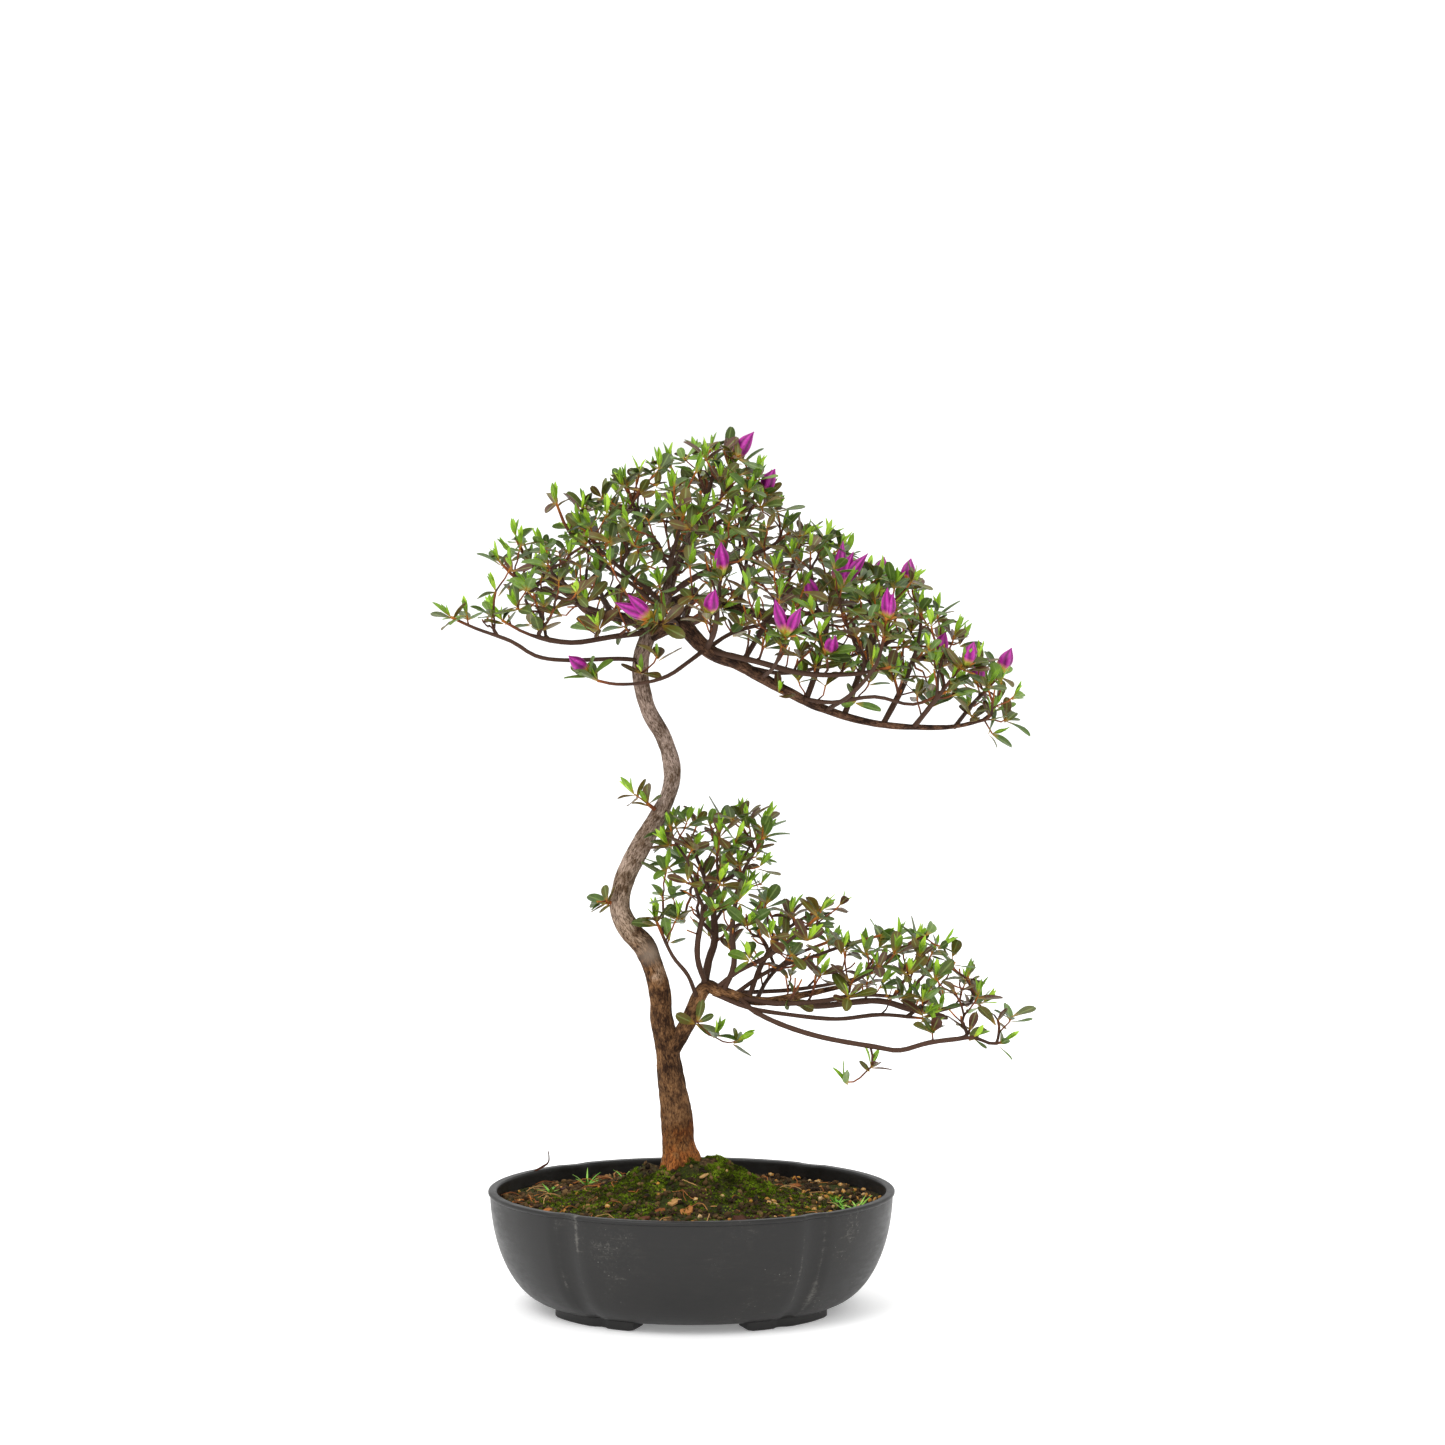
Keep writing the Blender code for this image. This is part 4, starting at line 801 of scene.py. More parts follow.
def spline(before, start, end, after, share):
    """A point between start and end on the smooth curve through all four."""
    cubic = (3.0 * (start - end) + after - before) * share ** 3
    square = (2.0 * before - 5.0 * start + 4.0 * end - after) * share ** 2
    return 0.5 * (2.0 * start + (end - before) * share + square + cubic)


def smooth_route(knots, step):
    """Points and radii about a step apart on a smooth curve through the given (point, radius) pairs."""
    knots = [Vector((*place, radius)) for place, radius in knots]
    knots = [2.0 * knots[0] - knots[1]] + knots + [2.0 * knots[-1] - knots[-2]]
    route = []
    for index in range(1, len(knots) - 2):
        span = (knots[index + 1].xyz - knots[index].xyz).length
        pieces = max(1, round(span / step))
        route += [spline(*knots[index - 1:index + 3], piece / pieces) for piece in range(pieces)]
    route.append(knots[-2])
    return [(knot.xyz, knot.w) for knot in route]


def tangents(places):
    """The direction of a line of points at each of them."""
    ahead = places[1:] + [2.0 * places[-1] - places[-2]]
    behind = [2.0 * places[0] - places[1]] + places[:-1]
    return [(after - before).normalized() for after, before in zip(ahead, behind)]


def tube_rings(route, sides, start_across=None):
    """For each point of a route, its centre, and the directions to its ring's corners, untwisted."""
    directions = tangents([place for place, _ in route])
    across = start_across or directions[0].orthogonal().normalized()
    rings = []
    for index, (centre, _) in enumerate(route):
        if index:
            across = directions[index - 1].rotation_difference(directions[index]) @ across
        side = directions[index].cross(across)
        rings.append((centre, [between(across, side, turn) for turn in around(sides)]))
    return rings


def loft(bm, rings, marks=None, layer=None):
    """A closed skin through the rings, each extruded from the last; marks go into the layer."""
    sides = len(rings[0])
    made = bmesh.ops.create_cone(bm, cap_ends=True, segments=sides, radius1=1.0, radius2=1.0, depth=2.0)
    turn = 2.0 * math.pi / sides
    spots = {}
    for corner in made["verts"]:
        index = round(math.atan2(corner.co.y, corner.co.x) / turn) % sides
        spots[corner] = (1 if corner.co.z > 0.0 else 0, index)
    end = next(face for face in made["verts"][0].link_faces
               if len({spots[corner][0] for corner in face.verts}) == 1)
    if spots[end.verts[0]][0] == 0:
        upper = next(corner for corner in made["verts"] if spots[corner][0] == 1)
        end = next(face for face in upper.link_faces
                   if len({spots[corner][0] for corner in face.verts}) == 1)
    order = [spots[corner][1] for corner in end.verts]
    for corner, (level, index) in spots.items():
        corner.co = rings[level][index]
        if layer:
            corner[layer] = marks[level][index]
    for level in range(2, len(rings)):
        end = bmesh.ops.extrude_discrete_faces(bm, faces=[end])["faces"][0]
        for corner, index in zip(end.verts, order):
            corner.co = rings[level][index]
            if layer:
                corner[layer] = marks[level][index]
    return end


def meshed(name, bm):
    """The bmesh as a new mesh; the bmesh is used up."""
    mesh = bpy.data.meshes.new(name)
    bm.to_mesh(mesh)
    bm.free()
    return mesh


def shaded(name, bm, sharp):
    """The bmesh as a smooth-shaded mesh, sharp where its faces meet at more than the angle."""
    mesh = meshed(name, bm)
    mesh.shade_smooth()
    mesh.set_sharp_from_angle(angle=math.radians(sharp))
    return mesh


def shown(name, data):
    """A new object in the scene for a mesh, a light or a camera."""
    made = bpy.data.objects.new(name, data)
    bpy.context.scene.collection.objects.link(made)
    return made


def finished(name, bm, skin, replaced, sharp=PLAIN_SHARP):
    """Make the bmesh a smooth-shaded piece of the plant that stands for its CAD nodes."""
    bmesh.ops.recalc_face_normals(bm, faces=bm.faces)
    return settled(name, shaded(name, bm, sharp), skin, replaced)


def settled(name, mesh, skins, replaced):
    """Place a mesh as a piece that rides on the plant, with its materials."""
    for skin in skins if isinstance(skins, tuple) else (skins,):
        mesh.materials.append(skin)
    piece = shown(name, mesh)
    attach(piece, "root")
    if replaced:
        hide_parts(*replaced)
    return piece


def template(name, bm):
    """Keep a small shape that is stamped many times."""
    mesh = meshed(name, bm)
    mesh.attributes.new("tone", "FLOAT", "POINT")
    return mesh


def stamp(bm, shape, matrix, tone):
    """Add a copy of a template, placed by the matrix, with one tone all over."""
    copy = shape.copy()
    copy.transform(matrix)
    copy.attributes["tone"].data.foreach_set("value", [tone] * len(copy.vertices))
    bm.from_mesh(copy)
    bpy.data.meshes.remove(copy)


def stood(place, along, up, width, length, height):
    """The matrix that lays a template's Y along a direction and turns its Z towards up."""
    lift = (up - up.dot(along) * along)
    lift = lift.normalized() if lift.length > 0.01 else along.orthogonal().normalized()
    side = along.cross(lift)
    turned = Matrix((side * width, along * length, lift * height)).transposed().to_4x4()
    turned.translation = place
    return turned


def groove_share(angle):
    """How deep in one of the four grooves an angle is: 0 outside them and 1 along their middles."""
    from_groove = math.acos(min(1.0, abs(math.cos(angle)))) - GROOVE_ANGLE
    return math.exp(-(from_groove / GROOVE_HALF_ANGLE) ** 6)


def bowl_point(angle, level, inset):
    """A point of the bowl's side: level 0 at the bottom, 1 at the rim, moved in by the inset."""
    swell = math.sqrt(max(0.0, 1.0 - (1.0 - level) ** 2))
    halves = [0.5 * (low + (high - 2.0 * LIP_REACH - low) * swell)
              for low, high in zip(BASE_SIZE, POT_SIZE)]
    inset += GROOVE_DEPTH * groove_share(angle)
    return Vector((MIDDLE.x + (halves[0] - inset) * math.cos(angle),
                   MIDDLE.y + (halves[1] - inset) * math.sin(angle), 0.0))


def around(steps):
    """Angles of a full turn in equal steps."""
    return [FULL_TURN * index / steps for index in range(steps)]


def heading(angle, rise=0.0):
    """A direction over the ground at an angle, lifted by the rise."""
    return Vector((math.cos(angle), math.sin(angle), rise))


def between(across, side, angle):
    """A direction turned by the angle from the first of two crossed directions to the second."""
    return math.cos(angle) * across + math.sin(angle) * side


def leaning(chance, reach):
    """A direction that leans from upright by chance."""
    return Vector((chance.uniform(-reach, reach), chance.uniform(-reach, reach), 1.0))


def shaken(chance, reach):
    """A small move by chance along all three axes."""
    return Vector([chance.uniform(-reach, reach) for _ in range(3)])


def clamped(value, high=1.0):
    """The value, kept between 0 and the high end."""
    return max(0.0, min(high, value))


def bowl_ring(level, inset, height, steps):
    """A ring of the bowl at the height."""
    return [bowl_point(angle, level, inset) + height * UP for angle in around(steps)]


def bowl_height(level):
    """Height of the bowl's side at the level."""
    return FOOT_HEIGHT + level * (RIM - FOOT_HEIGHT)


def bowl_level(height):
    """Level of the bowl's side at the height."""
    return (height - FOOT_HEIGHT) / (RIM - FOOT_HEIGHT)


def pot_rings(steps, side_rings):
    """The rings of the pot's skin from the underside, over the lip, to the floor inside."""
    lip_bottom = bowl_level(RIM - 2.0 * LIP_RADIUS)
    floor_top = bowl_level(FOOT_HEIGHT + FLOOR)
    shares = [(index / side_rings) ** 1.6 for index in range(side_rings + 1)]
    rings = [bowl_ring(0.0, FOOT_BAND, FOOT_HEIGHT, steps), bowl_ring(0.0, 0.0, FOOT_HEIGHT, steps)]
    for share in shares[1:]:
        rings.append(bowl_ring(lip_bottom * share, 0.0, bowl_height(lip_bottom * share), steps))
    for index in range(LIP_STEPS):
        turn = math.pi * (index / (LIP_STEPS - 1) - 0.5)
        inset = LIP_RADIUS - LIP_REACH - LIP_RADIUS * math.cos(turn)
        rings.append(bowl_ring(1.0, inset, RIM - LIP_RADIUS + LIP_RADIUS * math.sin(turn), steps))
    for index in range(1, LIP_STEPS // 2):
        turn = 0.5 * math.pi * index / (LIP_STEPS // 2 - 1)
        inset = WALL - LIP_RADIUS * (1.0 - math.sin(turn))
        rings.append(bowl_ring(1.0, inset, RIM - LIP_RADIUS * (1.0 - math.cos(turn)), steps))
    for share in reversed(shares):
        level = floor_top + (lip_bottom - floor_top) * share
        rings.append(bowl_ring(level, WALL, bowl_height(level), steps))
    return rings


def add_foot(bm, middle):
    """A foot: a block along an arc of the base that stands a little proud of the bowl, its edges eased."""
    rings = []
    for index in range(FOOT_STEPS + 1):
        share = 2.0 * index / FOOT_STEPS - 1.0
        angle = middle + FOOT_HALF_ANGLE * share
        ease = FOOT_EDGE if index in (0, FOOT_STEPS) else 0.0
        outer = bowl_point(angle, 0.0, ease - FOOT_REACH)
        inner = bowl_point(angle, 0.0, FOOT_BAND - ease)
        lower = outer.lerp(inner, FOOT_EDGE / (FOOT_BAND + FOOT_REACH))
        rings.append([inner + ease * UP, inner + FOOT_TOP * UP, outer + (FOOT_TOP - ease) * UP,
                      outer + FOOT_EDGE * UP, lower + ease * UP])
    loft(bm, rings)


def cut_drains(pot):
    """Cut the two drain holes through the floor."""
    for side in (-1.0, 1.0):
        bm = bmesh.new()
        spot = Vector((MIDDLE.x + side * DRAIN_SPACING / 2.0, MIDDLE.y, FOOT_HEIGHT))
        bmesh.ops.create_cone(bm, cap_ends=True, segments=48, radius1=DRAIN_RADIUS, radius2=DRAIN_RADIUS,
                              depth=4.0 * FLOOR, matrix=Matrix.Translation(spot))
        cutter = shown("drain_cutter", meshed("drain_cutter", bm))
        cut = pot.modifiers.new("drain", "BOOLEAN")
        cut.object = cutter
        evaluated = pot.evaluated_get(bpy.context.evaluated_depsgraph_get())
        drilled = bpy.data.meshes.new_from_object(evaluated)
        pot.modifiers.remove(cut)
        pot.data = drilled
        bpy.data.objects.remove(cutter)


def make_pot(settings):
    """The bowl with its rolled lip, grooves, four feet and two drain holes."""
    bm = bmesh.new()
    loft(bm, pot_rings(settings.steps, settings.side_rings))
    groove = bm.verts.layers.float.new("groove")
    for corner in bm.verts:
        off = corner.co - MIDDLE
        angle = math.atan2(off.y * POT_SIZE[0] / POT_SIZE[1], off.x)
        corner[groove] = groove_share(angle)
    for corner in range(4):
        add_foot(bm, math.pi / 4.0 + corner * math.pi / 2.0)
    pot = finished("bonsai_pot", bm, moulded_plastic(settings.colour), ("pot",), POT_SHARP)
    cut_drains(pot)


def soil_point(angle, share):
    """A point of the soil's top: share 0 at the trunk and 1 at the pot's wall."""
    frontness = (0.5 - 0.5 * math.sin(angle)) ** 2
    drop = SOIL_DROP_BACK + (SOIL_DROP_FRONT - SOIL_DROP_BACK) * frontness
    edge = bowl_point(angle, bowl_level(RIM - drop), WALL) + (RIM - drop) * UP
    foot = point(TRUNK_ROUTE[1])
    foot.z = edge.z
    place = foot.lerp(edge, share)
    fall = math.exp(-((place - foot).length / MOUND_RADIUS) ** 2)
    mound = (MOUND_HEIGHT - 0.3 * drop) * fall * (1.0 - share ** 4)
    lumps = LUMP_HEIGHT * math.sin(5.0 * angle + 9.0 * share) * (1.0 - share ** 2)
    rough = 0.0
    for size, height in SOIL_LUMPS:
        rough += height * MM * noise.noise(place / (size * MM))
    for x, y, radius, height in HUMPS:
        away = (place.xy - point((x, y, 0.0)).xy).length
        rough += height * MM * math.exp(-(away / (radius * MM)) ** 2)
    return place + (mound + lumps + rough * (1.0 - 0.6 * share ** 6)) * UP


def ground_spot(chance, least, most):
    """A chance angle and share on the soil, evenly spread over its area."""
    share = math.sqrt(chance.uniform(least ** 2, most ** 2))
    return chance.uniform(0.0, FULL_TURN), share


def make_soil():
    """The root ball: crumbly, mounded round the trunk, a little lower at the back."""
    bm = bmesh.new()
    bottom = GRIT_TOP + SOIL_GAP
    edge = RIM - SOIL_DROP_BACK - SOIL_EDGE
    rings = []
    for step in range(SOIL_SIDE_RINGS):
        height = bottom + (edge - bottom) * step / (SOIL_SIDE_RINGS - 1)
        rings.append(bowl_ring(bowl_level(height), WALL + SOIL_INSET, height, SOIL_STEPS))
    shares = [(index / SOIL_RINGS) ** 0.8 for index in range(1, SOIL_RINGS + 1)]
    for share in reversed(shares):
        rings.append([soil_point(angle, share) for angle in around(SOIL_STEPS)])
    loft(bm, rings)
    finished("root_ball_soil", bm, potting_soil(), ("soil",))


def crumb_templates():
    """A few lumpy grains."""
    shapes = []
    for number in range(6):
        bm = bmesh.new()
        bmesh.ops.create_icosphere(bm, subdivisions=1, radius=0.5)
        for corner in bm.verts:
            corner.co *= 1.0 + 0.42 * noise.noise(3.1 * corner.co + number * RIGHT)
        shapes.append(template(f"crumb_{number}", bm))
    return shapes


def make_crumbs(settings):
    """Loose crumbs strewn over the soil, and orange pumice grains, most of them at the right."""
    chance = random.Random(SEEDS["crumbs"])
    shapes = crumb_templates()
    bm = bmesh.new()
    for _ in range(settings.crumbs):
        angle, share = ground_spot(chance, 0.18, 0.985)
        grain = chance.random() < (0.12 if math.cos(angle) > 0.55 and share > 0.5 else 0.03)
        size = chance.uniform(0.6, 1.1) if grain else chance.uniform(0.25, 1.15) ** 1.4
        size *= settings.crumb_size
        spot = soil_point(angle, share) + 0.15 * size * UP
        tone = 0.34 + 0.5 * noise.noise(spot / (9.0 * MM)) + chance.uniform(-0.24, 0.26)
        tone = chance.uniform(0.86, 0.97) if grain else clamped(tone, 0.84)
        axis = Vector((chance.random(), chance.random(), 0.4))
        turn = Matrix.Rotation(chance.uniform(0.0, 6.28), 4, axis)
        sizes = (size, size * chance.uniform(0.6, 1.0), size * chance.uniform(0.5, 0.8), 1.0)
        stamp(bm, chance.choice(shapes), Matrix.Translation(spot) @ turn @ Matrix.Diagonal(sizes), tone)
    finished("soil_crumbs", bm, soil_crumbs(), ())


def chip_template():
    """A flake of bark with broken ends."""
    bm = bmesh.new()
    bmesh.ops.create_grid(bm, x_segments=2, y_segments=4, size=0.5)
    for corner in bm.verts:
        corner.co.x *= 1.0 - 0.5 * abs(corner.co.y) + 0.3 * noise.noise(4.0 * corner.co)
        corner.co.z = 0.25 * corner.co.x ** 2 + 0.05 * noise.noise(6.0 * corner.co)
    bmesh.ops.solidify(bm, geom=bm.faces[:], thickness=0.16)
    return template("chip", bm)


def make_litter(settings):
    """Flakes of bark, the largest in front, and dry roots and twigs lying on the soil."""
    chance = random.Random(SEEDS["litter"])
    shape = chip_template()
    bm = bmesh.new()
    spots = [(math.radians(angle), share, length, shade) for angle, share, length, shade in LARGE_FLAKES]
    for _ in range(SMALL_FLAKES):
        spots.append((*ground_spot(chance, 0.25, 0.95), chance.uniform(3.0, 8.5), chance.random()))
    for angle, share, length, shade in spots:
        spot = soil_point(angle, share) + 1.2 * MM * UP
        lean = leaning(chance, 0.5)
        way = heading(7.0 * angle, chance.uniform(-0.2, 0.3)).normalized()
        stamp(bm, shape, stood(spot, way, lean, 0.6 * length * MM, length * MM, 0.8 * length * MM), shade)
    tone = bm.verts.layers.float["tone"]
    for _ in range(settings.litter):
        angle, share = ground_spot(chance, 0.3, 0.94)
        course = chance.uniform(0.0, FULL_TURN)
        spot = soil_point(angle, share)
        arch = chance.uniform(0.2, 3.5)
        route = []
        for step in range(ROOTLET_STEPS):
            flat = spot - point(TRUNK_ROUTE[1])
            turn = math.atan2(flat.y, flat.x)
            rise = 0.9 + arch * math.sin(math.pi * step / (ROOTLET_STEPS - 1))
            route.append((spot + rise * MM * UP, ROOTLET_RADIUS))
            course += chance.uniform(-0.5, 0.5)
            spot = spot + ROOTLET_STEP * heading(course)
            spot.z = soil_point(turn, min(0.96, share + 0.004 * step)).z
        rings = [[centre + ROOTLET_RADIUS * way for way in ways] for centre, ways in tube_rings(route, 4)]
        shade = chance.uniform(0.45, 1.0)
        loft(bm, rings, [[shade] * 4] * ROOTLET_STEPS, tone)
    dry = smooth_route([(point(row), row[3] * MM) for row in DRY_TWIG], 1.5 * MM)
    rings = [[centre + thick * way for way in ways]
             for (centre, ways), (_, thick) in zip(tube_rings(dry, 6), dry)]
    loft(bm, rings, [[0.1] * 6] * len(rings), tone)
    finished("bark_flakes_and_roots", bm, bark_flakes(), ("bark_chip",))


def moss_cover(angle, share, places):
    """How thick the moss is at a spot of the soil, 0 where there is none."""
    cover = 0.0
    for middle, half, near, far in places:
        off = (angle - middle + math.pi) % FULL_TURN - math.pi
        reach = math.hypot(off / half, (share - 0.5 * (near + far)) / (0.5 * (far - near)))
        cover = max(cover, 1.0 - reach)
    spot = soil_point(angle, share)
    return cover + 0.55 * noise.noise(spot / (15.0 * MM)) + 0.35 * noise.noise(spot / (6.0 * MM))


def tuft_template():
    """A star of five pointed moss leaves."""
    bm = bmesh.new()
    for index in range(5):
        lean = heading(1.257 * index, 1.1).normalized()
        turn = UP.rotation_difference(lean).to_matrix().to_4x4()
        bmesh.ops.create_cone(bm, cap_ends=True, segments=3, radius1=0.13, radius2=0.0, depth=1.0,
                              matrix=turn @ Matrix.Translation(0.4 * UP))
    return template("tuft", bm)


def make_moss(settings, name, node, places, seed):
    """A moss cushion that thins out to scattered tufts at its edge."""
    places = [(math.radians(middle), *rest) for middle, *rest in places]
    chance = random.Random(seed)
    shape = tuft_template()
    bm = bmesh.new()
    count = 0
    tries = 0
    while count < settings.moss_tufts and tries < MOSS_TRIES:
        tries += 1
        middle, half, near, far = chance.choice(places)
        angle = middle + chance.uniform(-half, half)
        share = chance.uniform(near, far)
        cover = moss_cover(angle, share, places)
        if cover < 0.04:
            continue
        count += 1
        height = settings.moss_height * min(1.0, 0.35 + cover)
        spot = soil_point(angle, share) + 0.35 * height * UP
        size = 1.9 * MM * chance.uniform(0.6, 1.15)
        lean = leaning(chance, 0.4).normalized()
        side = heading(count)
        along = side - side.dot(lean) * lean
        tone = 0.42 + 0.5 * noise.noise(spot / (11.0 * MM)) + chance.uniform(-0.22, 0.3)
        stamp(bm, shape, stood(spot, along.normalized(), lean, size, size, size), clamped(tone))
    finished(name, bm, cushion_moss(), (node,))


def blade_template():
    """A curved, folded blade of grass."""
    bm = bmesh.new()
    bmesh.ops.create_grid(bm, x_segments=2, y_segments=5, size=0.5)
    for corner in bm.verts:
        run = corner.co.y + 0.5
        corner.co.x *= 1.0 - 0.93 * run ** 2
        corner.co.z = 0.03 * abs(corner.co.x) - 0.30 * run ** 2
        corner.co.y = run
    bmesh.ops.solidify(bm, geom=bm.faces[:], thickness=0.02)
    return template("blade", bm)


def make_grass(name, node, seed, clumps):
    """Clumps of young grass, each given by angle, share and the length of its blades in mm."""
    chance = random.Random(seed)
    shape = blade_template()
    bm = bmesh.new()
    for angle, share, length in clumps:
        foot = soil_point(math.radians(angle), share)
        for index in range(BLADES):
            turn = GOLDEN_ANGLE * index + chance.uniform(-0.3, 0.3)
            lean = heading(turn, chance.uniform(0.4, 2.2)).normalized()
            reach = length * MM * chance.uniform(0.55, 1.1)
            spot = foot + 0.8 * MM * heading(turn)
            stamp(bm, shape, stood(spot, lean, UP, 1.5 * MM, reach, reach), chance.uniform(0.45, 1.0))
    finished(name, bm, grass_blades(), (node,))


def flare(radius):
    """How ridged the trunk is where it has this radius: 0 above the roots, 1 at the soil."""
    return clamped((radius - FLARE_START) / (FLARE_FULL - FLARE_START))


def bark_relief(grain, radius, depth):
    """How far the bark stands out at a spot, from swellings and cracks that run with the grain."""
    swell = 0.16 * radius * noise.noise(Vector((grain.x, grain.y, 0.45 * grain.z)) / (11.0 * MM))
    drawn = Vector((grain.x, grain.y, 0.22 * grain.z)) / (2.2 * MM)
    crack = abs(noise.noise(drawn)) + 0.5 * abs(noise.noise(2.1 * drawn))
    plates = noise.noise(Vector((grain.x, grain.y, 0.5 * grain.z)) / (5.0 * MM))
    return swell + depth * (1.3 * min(crack, 0.6) - 0.55) + 0.6 * depth * plates


def wood_skin(name, table, sides, settings, skin, node, roots=False):
    """A barky tube along a table's route, with each spot's place along the grain kept for the bark."""
    knots = [(point(row), row[3] * MM) for row in table]
    route = smooth_route(knots, settings.ring_spacing)
    rings = []
    marks = []
    run = 0.0
    for index, (centre, ways) in enumerate(tube_rings(route, sides, RIGHT if roots else None)):
        radius = route[index][1]
        if index:
            run += (centre - route[index - 1][0]).length
        spots = []
        spread = flare(radius) if roots else 0.0
        depth = settings.fissure_depth * min(1.0, radius / FULL_BARK_RADIUS)
        for turn, way in zip(around(sides), ways):
            grain = Vector((radius * math.cos(turn), radius * math.sin(turn), run))
            ridged = math.cos(ROOTS * turn) + 0.5 * noise.noise(grain / (9.0 * MM))
            ridge = 1.0 + FLARE_RIDGE * spread * ridged
            spots.append((centre + (ridge * radius + bark_relief(grain, radius, depth)) * way, grain))
        rings.append([spot for spot, _ in spots])
        marks.append([grain for _, grain in spots])
    bm = bmesh.new()
    layer = bm.verts.layers.float_vector.new("grain")
    loft(bm, rings, marks, layer)
    finished(name, bm, skin, (node,) if node else ())


def leaf_width(run, peak, blunt):
    """Half of a leaf's width at a share of its length, before its own width is applied."""
    return max(0.03, 0.5 * math.sin(math.pi * clamped(run) ** peak) ** blunt)


def leaf_template(name, peak, blunt, fold, bend, twist):
    """A closed leaf one unit long: folded along its rib, bent back along its length, with a UV map."""
    bm = bmesh.new()
    bm.loops.layers.uv.new("leaf")
    bmesh.ops.create_grid(bm, x_segments=4, y_segments=6, size=0.5, calc_uvs=True)
    for corner in bm.verts:
        run = 1.0 - (0.5 - corner.co.y) ** 1.6
        side = 2.0 * corner.co.x
        half = leaf_width(0.03 + 0.955 * run, peak, blunt)
        corner.co.x = side * half
        corner.co.y = run
        corner.co.z = fold * abs(side) * half + bend * run ** 2 + 0.02 * math.sin(6.0 * run) * side
        corner.co.x += twist * run * corner.co.z
    bmesh.ops.solidify(bm, geom=bm.faces[:], thickness=0.022)
    bmesh.ops.recalc_face_normals(bm, faces=bm.faces)
    return template(name, bm)


def leaf_templates():
    """Grown leaves, widest past their middle, and young ones, lance-shaped and folded."""
    return {age: [leaf_template(f"{age}_leaf_{index}", peak, blunt, *ways)
                  for index, ways in enumerate(folds)]
            for age, (peak, blunt, folds) in LEAF_SHAPES.items()}


def inside(outline, x, z):
    """Whether a point of the front view is within an outline."""
    found = False
    for (x1, z1), (x2, z2) in zip(outline, outline[1:] + outline[:1]):
        if (z1 > z) != (z2 > z) and x < x1 + (x2 - x1) * (z - z1) / (z2 - z1):
            found = not found
    return found


def outline_distance(outline, x, z):
    """How far a point of the front view is from an outline."""
    here = Vector((x, z))
    best = math.inf
    for start, end in zip(outline, outline[1:] + outline[:1]):
        first = Vector(start)
        run = Vector(end) - first
        share = clamped((here - first).dot(run) / run.length_squared)
        best = min(best, (first + share * run - here).length)
    return best


def height_share(outline, x, z):
    """Where a point of the front view lies between the outline's underside, 0, and its top, 1."""
    heights = []
    for (x1, z1), (x2, z2) in zip(outline, outline[1:] + outline[:1]):
        if (x1 > x) != (x2 > x):
            heights.append(z1 + (z2 - z1) * (x - x1) / (x2 - x1))
    return (z - min(heights)) / (max(heights) - min(heights) + 1.0)


def canopy_spots(outline, count, depth, spacing, chance):
    """Where leaf whorls grow: round the front outline, then through the dome behind and before it."""
    lows, highs = zip(*[(min(axis), max(axis)) for axis in zip(*outline)])
    spots = []
    tries = 0
    while len(spots) < count and tries < CANOPY_TRIES:
        tries += 1
        x = chance.uniform(lows[0], highs[0])
        z = chance.uniform(lows[1], highs[1])
        if not inside(outline, x, z):
            continue
        edge = outline_distance(outline, x, z)
        if edge < OUTLINE_MARGIN or (tries < EDGE_TRIES and edge > OUTLINE_BAND):
            continue
        level = height_share(outline, x, z)
        reach = depth * min(1.0, math.sqrt(edge / 30.0)) * math.sqrt(1.0 - 0.8 * level ** 2)
        y = reach * chance.choice((-1.0, 1.0)) * chance.random() ** 0.4
        gap = spacing * (1.55 - 0.80 * level)
        if all(math.hypot(x - a, z - c, 0.34 * (y - b)) > gap for a, b, c in spots):
            spots.append((x, y, z))
    return [measured(x, y, z - y * (EYE_HEIGHT - z) / EYE_DISTANCE) for x, y, z in spots]


def bare_spots(outline, count, depth, chance):
    """Where leafless twigs end: in the shade, in the lower part of a canopy."""
    lows, highs = zip(*[(min(axis), max(axis)) for axis in zip(*outline)])
    spots = []
    while len(spots) < count:
        x = chance.uniform(lows[0] + BARE_INSET, highs[0] - BARE_INSET)
        z = chance.uniform(lows[1], highs[1])
        low = inside(outline, x, z) and height_share(outline, x, z) < BARE_LEVEL
        if low and outline_distance(outline, x, z) > BARE_MARGIN:
            spots.append(measured(x, chance.uniform(-0.6, 0.6) * depth, z))
    return spots


